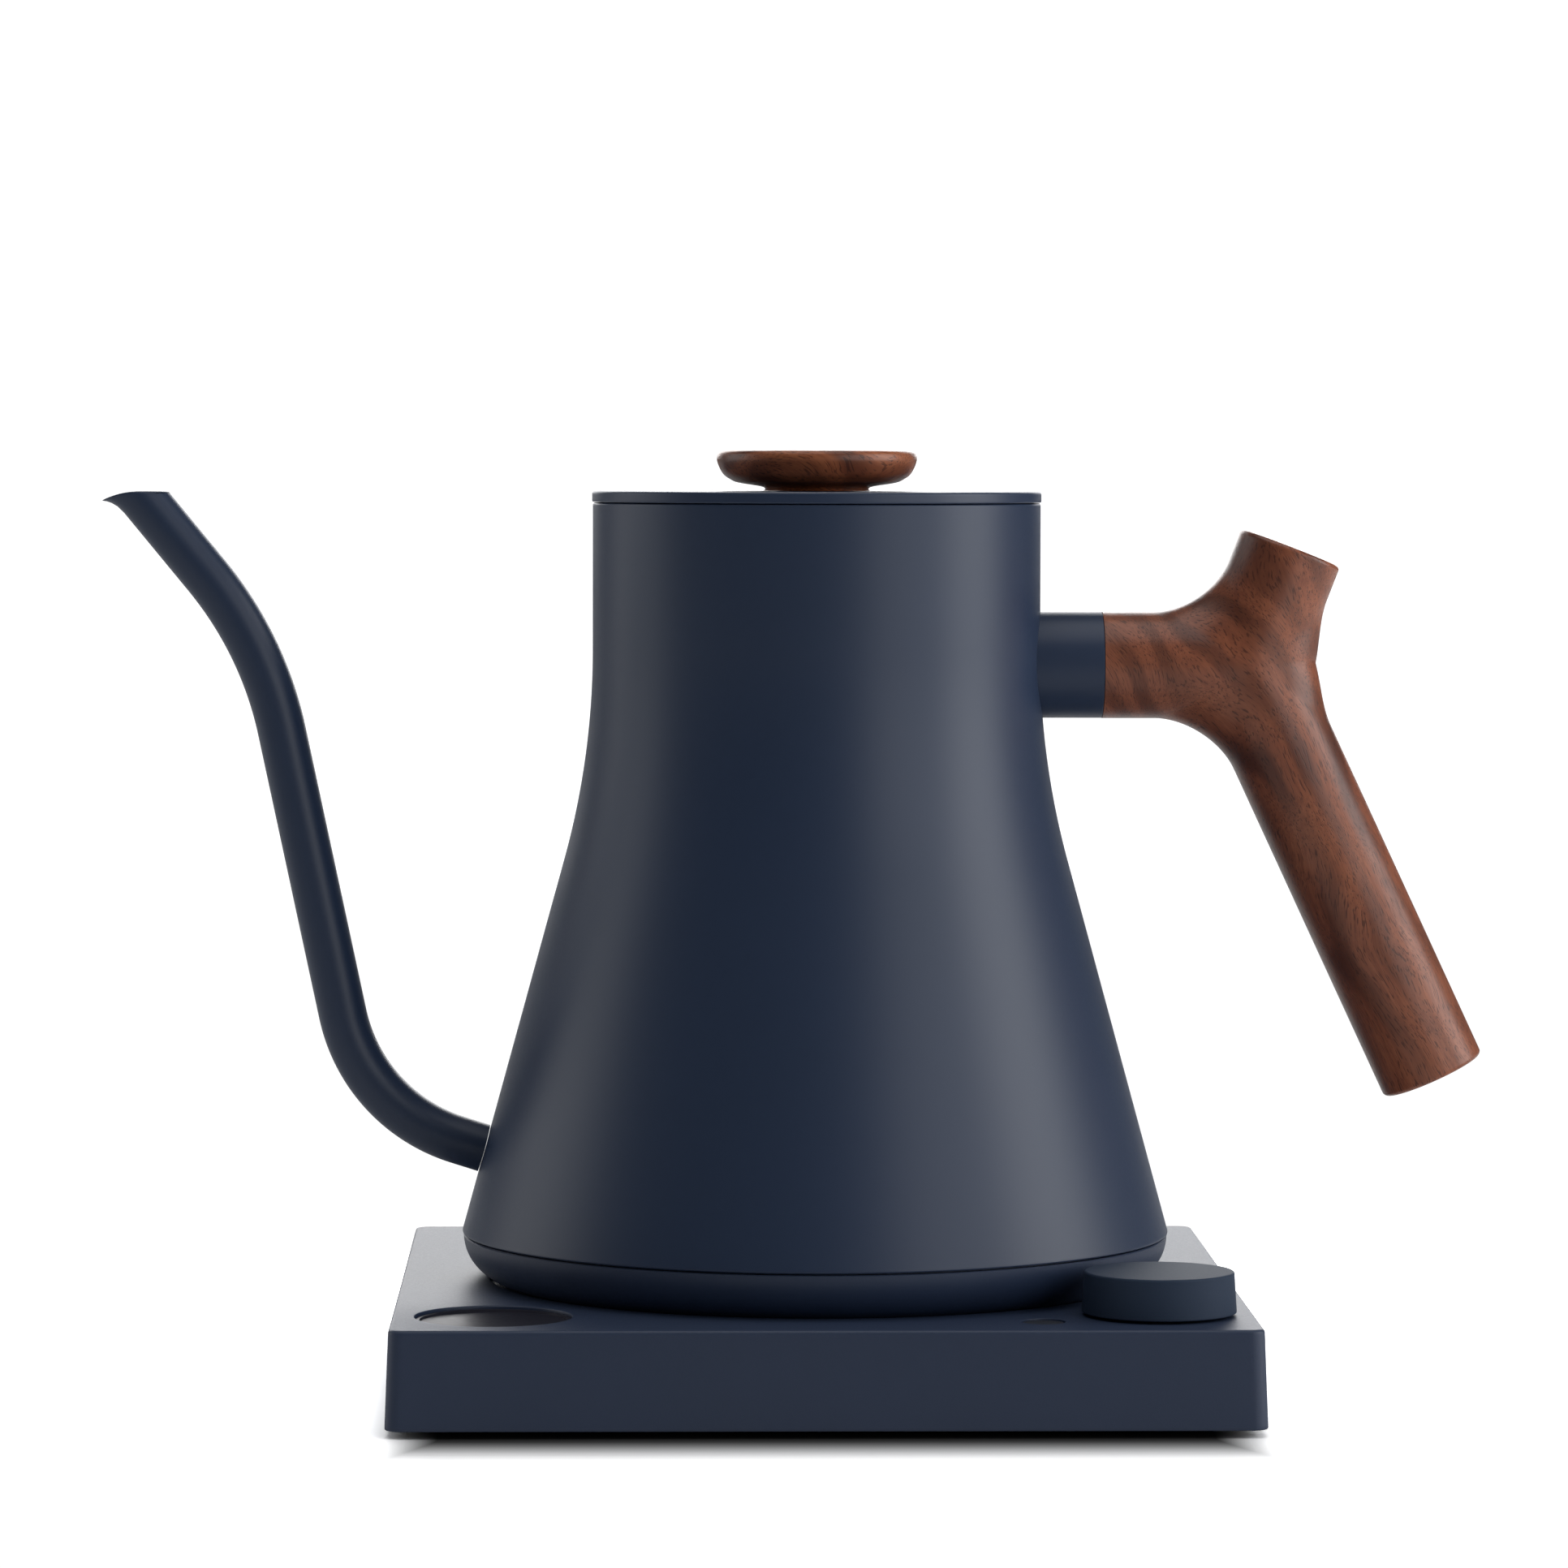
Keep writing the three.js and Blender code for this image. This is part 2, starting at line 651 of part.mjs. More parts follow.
// The side from foot to rim, moved outwards by `offset`: straight cone, flare arc, straight neck.
function sideOutline(offset, footZ, rimZ) {
  const r = shell.flareR - offset;
  const cone = radians(shell.coneAngle);
  const arcSteps = 5;
  const arc = [];
  for (let i = 0; i <= arcSteps; i += 1) {
    const angle = cone * (1 - i / arcSteps);
    arc.push([flareAxisR - r * Math.cos(angle), shell.flareTopZ - r * Math.sin(angle)]);
  }
  const [coneTopR, coneTopZ] = arc[0];
  const footR = coneTopR + Math.tan(cone) * (coneTopZ - footZ);
  return [[footR, footZ], ...arc, [shell.neckR + offset, rimZ]];
}

// A solid that fills the outside of the body, grown by `offset`, to trim what is welded to it.
function bodyFill(offset) {
  const side = sideOutline(offset, shell.footZ, shell.rimZ);
  return turned([[0, shell.footZ], ...side, [0, shell.rimZ]]);
}

class ArcCurve extends THREE.Curve {
  constructor(centre, start, end) {
    super();
    this.centre = centre;
    this.start = start;
    this.end = end;
  }

  getPoint(t, target = new THREE.Vector3()) {
    const spoke = this.start.clone().sub(this.centre);
    const axis = spoke.clone().cross(this.end.clone().sub(this.centre)).normalize();
    const turn = spoke.angleTo(this.end.clone().sub(this.centre));
    return target.copy(spoke.applyAxisAngle(axis, turn * t)).add(this.centre);
  }
}

// A path of straight lines in the XZ plane whose corners are rounded to a radius.
function bentPath(start, bends, end) {
  const point = ([x, z]) => new THREE.Vector3(x, 0, z);
  const path = new THREE.CurvePath();
  let from = point(start);
  bends.forEach((bend, i) => {
    const corner = point(bend.at);
    const next = i + 1 < bends.length ? point(bends[i + 1].at) : point(end);
    const back = from.clone().sub(corner).normalize();
    const ahead = next.clone().sub(corner).normalize();
    const half = back.angleTo(ahead) / 2;
    const tangent = bend.r / Math.tan(half);
    const arcStart = corner.clone().addScaledVector(back, tangent);
    const arcEnd = corner.clone().addScaledVector(ahead, tangent);
    const middle = back.clone().add(ahead).normalize();
    const centre = corner.clone().addScaledVector(middle, bend.r / Math.sin(half));
    path.add(new THREE.LineCurve3(from, arcStart));
    path.add(new ArcCurve(centre, arcStart, arcEnd));
    from = arcEnd;
  });
  path.add(new THREE.LineCurve3(from, point(end)));
  return path;
}

function makeBody() {
  const outer = sideOutline(0, shell.footZ, shell.rimZ);
  const inner = sideOutline(-shell.wall, shell.seamZ, shell.rimZ);
  const [footR] = outer[0];
  const rolledEdge = [[footR - 0.6, shell.seamZ], [footR - 0.15, shell.seamZ + 0.15]];
  const wall = turnedRing([...rolledEdge, ...outer, ...inner.reverse()]);
  const [cornerX, cornerZ] = spout.lowerBend.at;
  const [rootX, rootZ] = spout.root;
  const inward = new THREE.Vector3(rootX - cornerX, 0, rootZ - cornerZ).normalize();
  const start = new THREE.Vector3(rootX, 0, rootZ).addScaledVector(inward, -spout.boreReach);
  const end = new THREE.Vector3(rootX, 0, rootZ).addScaledVector(inward, spout.boreReach);
  const bore = swept(new THREE.LineCurve3(start, end), spout.r - spout.wall, 0, SMALL_SIDES, 1);
  return cut(wall, bore);
}

function makeSpout() {
  const [mouthX, mouthZ] = spout.mouth;
  const [bendX, bendZ] = spout.upperBend.at;
  const run = Math.hypot(mouthX - bendX, mouthZ - bendZ);
  const past = spout.overrun / run;
  const start = [mouthX + (mouthX - bendX) * past, mouthZ + (mouthZ - bendZ) * past];
  const path = bentPath(start, [spout.upperBend, spout.lowerBend], spout.root);
  const tube = swept(path, spout.r, spout.r - spout.wall, SMALL_SIDES, spout.steps);
  const wide = 4 * spout.r; // wider and taller than what sticks out past the mouth
  const above = block([mouthX - wide, -wide, mouthZ], [mouthX + wide, wide, mouthZ + wide]);
  const trimmed = cut(tube, above, bodyFill(GAP));
  // The front of the level mouth is drawn forwards and down into a pouring lip.
  const place = trimmed.attributes.position;
  for (let i = 0; i < place.count; i += 1) {
    const height = (place.getZ(i) - (mouthZ - spout.lipHeight)) / spout.lipHeight;
    const forward = Math.max(0, (mouthX - place.getX(i)) / (1.3 * spout.r));
    if (height > 0 && forward > 0) {
      const weight = height * Math.min(1, forward * forward);
      place.setX(i, place.getX(i) - spout.lipReach * weight);
      place.setZ(i, place.getZ(i) - spout.lipDrop * weight);
    }
  }
  return trimmed;
}

// ---------------------------------------------------------------- underside of the kettle
const coverScrewPlaces = [30, 150, 270].map((angle) => [
  coverScrew.ringR * Math.cos(radians(angle)),
  coverScrew.ringR * Math.sin(radians(angle)),
]);

// A quarter of a rounded square in section: from the flat bottom up to the seam.
function bowlOutline(inset, topZ, steps) {
  const depth = shell.seamZ - bowl.z0 - inset;
  const spread = bowl.r - bowl.flatR - inset;
  const points = [];
  for (let i = 0; i <= steps; i += 1) {
    const angle = (i / steps) * (Math.PI / 2);
    const across = Math.sin(angle) ** (2 / bowl.power);
    const down = Math.cos(angle) ** (2 / bowl.power);
    points.push([bowl.flatR + spread * across, Math.min(topZ, shell.seamZ - depth * down)]);
  }
  return points;
}

function makeBottomCover() {
  const outer = bowlOutline(0, bowl.topZ, 6);
  const inner = bowlOutline(bowl.wall, bowl.topZ, 3);
  const tongueR = bowl.r - tongue.inset;
  const tongueTopZ = bowl.topZ + tongue.height;
  const skin = turnedRing([
    [bowl.holeR, bowl.z0],
    ...outer,
    [tongueR, bowl.topZ],
    [tongueR, tongueTopZ],
    [tongueR - tongue.thick, tongueTopZ],
    ...inner.reverse(),
    [bowl.holeR, bowl.z0 + bowl.wall],
  ]);
  const floorZ = bowl.z0 + bowl.wall;
  const posts = coverScrewPlaces.map(([x, y]) =>
    at(disc(coverScrew.postR, floorZ - 1, coverScrew.bossZ - GAP), x, y));
  const bores = coverScrewPlaces.flatMap(([x, y]) => [
    at(disc(coverScrew.headR + GAP, bowl.z0 - 1, bowl.z0 + coverScrew.boreH), x, y),
    at(disc(coverScrew.shankR + GAP, bowl.z0, coverScrew.bossZ), x, y),
  ]);
  return cut(join(skin, ...posts), ...bores);
}

function makeHeaterPlate() {
  const undersideZ = heaterPlate.topZ - heaterPlate.thick;
  const side = sideOutline(-shell.wall - GAP, heaterPlate.flangeZ, shell.rimZ);
  const [flangeR] = side[0];
  const slope = Math.tan(radians(shell.coneAngle));
  const topR = flangeR - slope * (heaterPlate.topZ - heaterPlate.flangeZ);
  const dish = turned([
    [0, undersideZ],
    [topR - heaterPlate.thick, undersideZ],
    [flangeR - heaterPlate.thick, heaterPlate.flangeZ],
    [flangeR, heaterPlate.flangeZ],
    [topR, heaterPlate.topZ],
    [0, heaterPlate.topZ],
  ]);
  const bosses = coverScrewPlaces.map(([x, y]) =>
    at(disc(coverScrew.bossR, coverScrew.bossZ, undersideZ + 0.4), x, y));
  const threads = coverScrewPlaces.map(([x, y]) =>
    at(disc(coverScrew.shankR + GAP, coverScrew.bossZ - 1, coverScrew.topZ + 1), x, y));
  const probeHole = at(disc(probe.sealR + GAP, spreader.z0, heaterPlate.topZ + 1), 0, probe.y);
  return cut(join(dish, ...bosses), ...threads, probeHole);
}

function makeElement() {
  const z = spreader.z0 - GAP - element.tubeR;
  const points = [];
  const { steps, sides } = element;
  const start = 180 + element.gapAngle / 2;
  for (let i = 0; i <= steps; i += 1) {
    const angle = radians(start + ((360 - element.gapAngle) * i) / steps);
    points.push(new THREE.Vector3(element.ringR * Math.cos(angle), element.ringR * Math.sin(angle), z));
  }
  return swept(new THREE.CatmullRomCurve3(points), element.tubeR, 0, sides, steps);
}

function addHeater() {
  add('heater_plate', makeHeaterPlate(), steel);
  const plate = disc(spreader.r, spreader.z0, spreader.z0 + spreader.thick, ROUND_SIDES);
  const probeHole = at(disc(probe.sealR + GAP, spreader.z0 - 1, heaterPlate.topZ), 0, probe.y);
  add('heat_spreader', cut(plate, probeHole), aluminium);
  add('heating_element', makeElement(), steel);

  const top = spreader.z0 - GAP;
  const thermostat = disc(cutout.r, top - cutout.height, top);
  add('thermal_cutout', at(thermostat, cutout.x, 0), electronicBlack);

  const sheath = turned([
    [0, top - probe.below],
    [probe.r, top - probe.below],
    [probe.r, probe.topZ - probe.tip],
    [probe.r - probe.tip, probe.topZ],
    [0, probe.topZ],
  ], SMALL_SIDES);
  add('temperature_probe', at(sheath, 0, probe.y), steel);
  const sealTopZ = heaterPlate.topZ + GAP;
  const rimR = probe.sealR + probe.rimReach;
  const seal = turnedRing([
    [probe.r + GAP, spreader.z0],
    [probe.sealR, spreader.z0],
    [probe.sealR, sealTopZ],
    [rimR, sealTopZ],
    [rimR, sealTopZ + probe.rimH],
    [probe.r + GAP, sealTopZ + probe.rimH],
  ], SMALL_SIDES);
  add('probe_seal', at(seal, 0, probe.y), silicone);
}

function makeSocket() {
  const ringIn = crown.ringR - crown.ringHalf;
  const ringOut = crown.ringR + crown.ringHalf;
  return turned([
    [0, crown.contactZ],
    [crown.pinR, crown.contactZ],
    [crown.pinR, socket.capZ],
    [ringIn, socket.capZ],
    [ringIn, crown.contactZ],
    [ringOut, crown.contactZ],
    [ringOut, socket.capZ],
    [socket.boreR, socket.capZ],
    [socket.boreR, socket.mouthZ + socket.mouthBevel],
    [socket.boreR + socket.mouthBevel, socket.mouthZ],
    [socket.r, socket.mouthZ],
    [socket.r, socket.topZ - socket.flangeH],
    [socket.flangeR, socket.topZ - socket.flangeH],
    [socket.flangeR, socket.topZ],
    [0, socket.topZ],
  ], MEDIUM_SIDES);
}

// A wire from one end of the element down to the side of the socket.
function makeElementWire(side) {
  const points = elementWireRoute.map(([x, y, z]) => new THREE.Vector3(x, side * y, z));
  return swept(new THREE.CatmullRomCurve3(points), wire.r, 0, wire.sides, wire.steps);
}

function addUnderside() {
  add('coaxial_socket', makeSocket(), darkMoulding);
  add('element_live_wire', makeElementWire(1), liveRed);
  add('element_neutral_wire', makeElementWire(-1), neutralBlue);
  add('bottom_cover', makeBottomCover(), mouldedBlue);
  coverScrewPlaces.forEach(([x, y], i) => {
    const { headR, headH, shankR, topZ } = coverScrew;
    const solid = screw(headR, bowl.z0 + GAP, headH, shankR, topZ);
    add(`bottom_cover_screw_${i + 1}`, at(solid, x, y), steel);
  });
}

// ---------------------------------------------------------------- handle
// Three arms of one radius meet at the hub. Angles are counted from +X towards +Z.
const arms = [
  { angle: handle.gripAngle - 90, length: handle.gripLength, rings: 8, plain: false },
  { angle: 90 - handle.stubAngle, length: handle.stubLength, rings: 5, plain: false },
  { angle: 180, length: handle.hubX - handle.ferruleEndX - GAP, rings: 5, plain: true },
];

function planar(angle) {
  return new THREE.Vector3(Math.cos(radians(angle)), 0, Math.sin(radians(angle)));
}

function roundedUnion(a, b, r) {
  return Math.max(r, Math.min(a, b)) - Math.hypot(Math.max(r - a, 0), Math.max(r - b, 0));
}

// Signed distance to the three blended arms; the blend dies out towards the front and back.
function gripField(point) {
  const distance = arms.map(({ angle }) => {
    const direction = planar(angle);
    const along = Math.max(0, point.dot(direction));
    return point.distanceTo(direction.multiplyScalar(along)) - handle.r;
  });
  const fade = Math.max(0, 1 - (point.y / handle.r) ** 2);
  return Math.min(
    roundedUnion(distance[0], distance[1], handleBlend.back * fade),
    roundedUnion(distance[1], distance[2], handleBlend.front * fade),
    roundedUnion(distance[2], distance[0], handleBlend.front * fade),
  );
}

// Where a ray that starts inside the grip leaves it.
function surfacePoint(origin, direction) {
  let near = 0;
  let far = 4 * handle.r;
  for (let i = 0; i < 40; i += 1) {
    const middle = (near + far) / 2;
    const inside = gripField(origin.clone().addScaledVector(direction, middle)) < 0;
    if (inside) near = middle;
    else far = middle;
  }
  return origin.clone().addScaledVector(direction, (near + far) / 2);
}

// One ring of an arm. At the hub it follows the planes half way to the arms on each side,
// and further out it turns square to the arm.
function armRing(arm, before, after, along, sides) {
  const square = Math.min(1, along / handle.squareFrom);
  const origin = planar(arm.angle).multiplyScalar(along);
  const ring = [];
  for (let i = 0; i < sides; i += 1) {
    const turn = (i / sides) * 2 * Math.PI;
    const across = Math.cos(turn);
    const depth = new THREE.Vector3(0, Math.sin(turn), 0);
    const shared = planar(across >= 0 ? after : before).multiplyScalar(Math.abs(across)).add(depth);
    const own = planar(arm.angle + 90).multiplyScalar(across).add(depth);
    ring.push(surfacePoint(origin, shared.lerp(own, square).normalize()));
  }
  return ring;
}

// The rings that round off and close the free end of an arm.
function endRings(arm, sides) {
  const last = armRing(arm, arm.angle, arm.angle, arm.length, sides);
  const middle = planar(arm.angle).multiplyScalar(arm.length);
  const axis = planar(arm.angle);
  const shapes = arm.plain
    ? [[1, 0]]
    : [
      [1, -handle.edgeR],
      [1 - (0.3 * handle.edgeR) / handle.r, -0.3 * handle.edgeR],
      [1 - handle.edgeR / handle.r, 0],
      [0.5, handle.crown * 0.75],
    ];
  return shapes.map(([scale, push]) => last.map((point) =>
    middle.clone().add(point.clone().sub(middle).multiplyScalar(scale)).addScaledVector(axis, push)));
}

function armTriangles(arm, before, after, sides) {
  const rings = [];
  for (let i = 0; i < arm.rings; i += 1) {
    const free = arm.plain ? arm.length : arm.length - 2 * handle.edgeR;
    rings.push(armRing(arm, before, after, (free * i) / arm.rings, sides));
  }
  rings.push(...endRings(arm, sides));
  const tip = planar(arm.angle).multiplyScalar(arm.length + (arm.plain ? 0 : handle.crown));
  const corners = [];
  for (let k = 0; k + 1 < rings.length; k += 1) {
    for (let i = 0; i < sides; i += 1) {
      const j = (i + 1) % sides;
      const [a, b] = [rings[k][i], rings[k][j]];
      const [c, d] = [rings[k + 1][i], rings[k + 1][j]];
      corners.push(a, b, d, a, d, c);
    }
  }
  const end = rings[rings.length - 1];
  end.forEach((point, i) => corners.push(point, end[(i + 1) % sides], tip));
  return corners;
}

function makeGrip() {
  const corners = arms.flatMap((arm, i) => {
    const next = arms[(i + 1) % arms.length];
    const previous = arms[(i + arms.length - 1) % arms.length];
    const ahead = (next.angle - arm.angle + 360) % 360;
    const behind = (arm.angle - previous.angle + 360) % 360;
    return armTriangles(arm, arm.angle - behind / 2, arm.angle + ahead / 2, handle.sides);
  });
  const skin = new THREE.BufferGeometry().setFromPoints(corners);
  skin.translate(handle.hubX, 0, handle.z);
  const hole = alongX(disc(insert.r + GAP, handle.ferruleEndX - 1, stud.endX + 2 * GAP), handle.z);
  return cut(skin, hole);
}

function addHandle() {
  const { z, ferruleEndX, ferruleBoreR, ferruleR, ferruleStartX: startX } = handle;
  const ferrule = alongX(bush(ferruleBoreR, ferruleR, startX, ferruleEndX, MEDIUM_SIDES), z);
  add('handle_ferrule', cut(ferrule, bodyFill(GAP)), powderCoat);
  const welded = turned([
    [0, startX],
    [stud.padR, startX],
    [stud.padR, stud.padX],
    [stud.r, stud.padX],
    [stud.r, stud.endX],
    [0, stud.endX],
  ], SMALL_SIDES);
  add('handle_stud', cut(alongX(welded, z), bodyFill(GAP)), steel);
  const core = bush(stud.r + GAP, ferruleBoreR - GAP, handle.coreStartX, ferruleEndX - GAP);
  add('ferrule_core', alongX(core, z), darkMoulding);
  add('handle_insert', alongX(bush(stud.r + GAP, insert.r, insert.x0, insert.x1), z), brass);
  add('handle_grip', makeGrip(), walnut);
}

// ---------------------------------------------------------------- lid
function makeLidPlate() {
  const topZ = lid.z0 + lid.thick;
  return turnedRing([
    [knobScrew.r + GAP, lid.z0],
    [lid.r - lid.edgeR / 2, lid.z0],
    [lid.r, lid.z0 + lid.edgeR / 2],
    [lid.r, topZ - lid.edgeR],
    [lid.r - lid.edgeR, topZ],
    [knobScrew.r + GAP, topZ],
  ]);
}

function makeLidLiner() {
  const topZ = lid.z0 - GAP;
  const innerR = lid.linerR - lid.linerWall;
  return turnedRing([
    [knobScrew.r + GAP, lid.linerZ],
    [lid.linerR - 1, lid.linerZ],
    [lid.linerR, lid.linerZ + 1],
    [lid.linerR, topZ],
    [innerR, topZ],
    [innerR, lid.linerZ + lid.linerWall],
    [knobScrew.r + GAP, lid.linerZ + lid.linerWall],
  ]);
}

function addLid() {
  add('lid_plate', makeLidPlate(), powderCoat);
  add('lid_liner', makeLidLiner(), steel);
  const { r, z0, z1 } = gasket;
  add('lid_gasket', bush(lid.linerR + GAP, r, z0, z1, ROUND_SIDES), darkSilicone);
  const knobFootZ = KNOB_OUTLINE[0][1];
  const knobTopZ = KNOB_OUTLINE[KNOB_OUTLINE.length - 1][1];
  const screwHoleR = knobScrew.r + GAP;
  const knob = [
    [0, knobScrew.topZ + GAP],
    [screwHoleR, knobScrew.topZ + GAP],
    [screwHoleR, knobFootZ],
    ...KNOB_OUTLINE,
    [0, knobTopZ],
  ];
  add('lid_knob', turned(knob, MEDIUM_SIDES), walnut);
  const headZ = lid.linerZ - GAP - knobScrew.headH;
  add('lid_knob_screw', screw(knobScrew.headR, headZ, knobScrew.headH, knobScrew.r, knobScrew.topZ), steel);
}

// ---------------------------------------------------------------- assembly
addBaseCase();
addDisplay();
addStatusLight();
addDial();
addBoards();
addPlug();
addCordGland();
addHoldSwitch();
addBaseWires();
add('kettle_body', makeBody(), powderCoat);
add('spout', makeSpout(), powderCoat);
addHeater();
addUnderside();
addHandle();
addLid();

const extent = new THREE.Box3().setFromObject(assembly);
assembly.position.x = -(extent.min.x + extent.max.x) / 2;

export default assembly;
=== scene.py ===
"""Looks of an electric gooseneck kettle with a walnut handle, standing on its square heating base.

Sizes in the classes below are millimetres, measured from the kettle's own upright axis. A mesh is
turned to metres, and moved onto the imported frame's axis, in one place: piece().
"""

import logging
import math
from collections.abc import Callable, Iterable, Sequence
from dataclasses import dataclass, field
from enum import Enum

import bmesh
import bpy
import numpy as np
from bpy.types import Material, Mesh, Node, NodeSocket, NodeTree, Object
from mathutils import Euler, Matrix, Vector


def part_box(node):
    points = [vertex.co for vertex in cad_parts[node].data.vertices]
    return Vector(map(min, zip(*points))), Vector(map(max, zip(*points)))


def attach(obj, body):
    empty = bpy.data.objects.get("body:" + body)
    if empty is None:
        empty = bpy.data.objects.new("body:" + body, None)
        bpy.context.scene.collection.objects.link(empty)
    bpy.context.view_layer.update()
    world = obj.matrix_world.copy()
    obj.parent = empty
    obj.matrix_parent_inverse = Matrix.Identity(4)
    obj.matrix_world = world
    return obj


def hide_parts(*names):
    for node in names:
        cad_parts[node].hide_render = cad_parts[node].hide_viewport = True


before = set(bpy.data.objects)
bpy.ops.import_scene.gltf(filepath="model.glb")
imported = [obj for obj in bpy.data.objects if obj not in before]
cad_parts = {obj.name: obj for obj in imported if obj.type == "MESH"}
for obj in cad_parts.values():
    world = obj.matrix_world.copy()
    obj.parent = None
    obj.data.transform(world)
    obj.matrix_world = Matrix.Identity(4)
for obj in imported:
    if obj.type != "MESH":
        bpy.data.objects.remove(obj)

LOG = logging.getLogger("kettle")
MM = 0.001
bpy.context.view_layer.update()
AXIS_X = sum(corner.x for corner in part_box("kettle_body")) / 2

Profile = list[tuple[float, float]]
Loop = list[int]
Point = tuple[float, float, float]


# ------------------------------------------------------------------ nodes and colours
def linear(code: str) -> tuple[float, float, float, float]:
    """Turns an sRGB hex colour into linear values.

    Args:
        code: The colour, such as "#2c3747".

    Returns:
        Red, green, blue and an alpha of 1.
    """
    parts = [int(code[i : i + 2], 16) / 255 for i in (1, 3, 5)]
    low = [p / 12.92 if p <= 0.04045 else ((p + 0.055) / 1.055) ** 2.4 for p in parts]
    return (low[0], low[1], low[2], 1.0)


def node(tree: NodeTree, kind: str, inputs: dict | None = None, **settings) -> Node:
    """Adds one node to a tree.

    Args:
        tree: The shader or geometry tree.
        kind: The node's type name.
        inputs: Socket name or number to a value, or to an output socket that is linked in.
        settings: The node's own properties.

    Returns:
        The new node.
    """
    made = tree.nodes.new(kind)
    for name, value in settings.items():
        setattr(made, name, value)
    for key, value in (inputs or {}).items():
        if isinstance(value, NodeSocket):
            tree.links.new(value, made.inputs[key])
        else:
            made.inputs[key].default_value = value
    return made


def calc(tree: NodeTree, operation: str, *terms: NodeSocket | float) -> NodeSocket:
    """Works out one number from others."""
    return node(tree, "ShaderNodeMath", dict(enumerate(terms)), operation=operation).outputs[0]


def vector_calc(tree: NodeTree, operation: str, *terms: NodeSocket | tuple) -> NodeSocket:
    """Works out one vector, or a length, from vectors."""
    made = node(tree, "ShaderNodeVectorMath", dict(enumerate(terms)), operation=operation)
    return made.outputs["Value" if operation == "LENGTH" else "Vector"]


def ramp(tree: NodeTree, value: NodeSocket, start: float, end: float, low: float, high: float,
         curve: str = "LINEAR") -> NodeSocket:
    """Runs from low to high while the value goes from start to end."""
    inputs = {0: value, 1: start, 2: end, 3: low, 4: high}
    return node(tree, "ShaderNodeMapRange", inputs, interpolation_type=curve).outputs[0]


def blend(tree: NodeTree, share: NodeSocket, first: NodeSocket | tuple,
          second: tuple) -> NodeSocket:
    """Goes from the first colour to the second as the share goes from 0 to 1."""
    inputs = {0: share, 6: first, 7: second}  # a Mix node's two colours are its inputs 6 and 7
    return node(tree, "ShaderNodeMix", inputs, data_type="RGBA").outputs[2]


def mapped(tree: NodeTree, spot: NodeSocket, **settings: tuple) -> NodeSocket:
    """Moves, turns or stretches a position; the settings are Mapping's own sockets."""
    return node(tree, "ShaderNodeMapping", {"Vector": spot, **settings}).outputs[0]


def noise(tree: NodeTree, spot: NodeSocket, scale: float, detail: float = 2.0,
          rough: float = 0.5) -> Node:
    """Adds a noise pattern: its first output is a number, its second a colour."""
    inputs = {"Vector": spot, "Scale": scale, "Detail": detail, "Roughness": rough}
    return node(tree, "ShaderNodeTexNoise", inputs)


def object_spot(tree: NodeTree) -> NodeSocket:
    """Returns the position in the piece's own frame, in metres."""
    return node(tree, "ShaderNodeTexCoord").outputs["Object"]


def empty_material(name: str) -> Material:
    """Returns a new material with an empty tree."""
    made = bpy.data.materials.new(name)
    made.use_nodes = True
    made.node_tree.nodes.clear()
    return made


# ------------------------------------------------------------------ finishes
class Surface(Enum):
    """How the last process left a surface."""

    SMOOTH = "smooth"
    GRAINED = "grained"
    ROUND_BRUSHED = "brushed round the axis"
    LINE_BRUSHED = "brushed in lines"


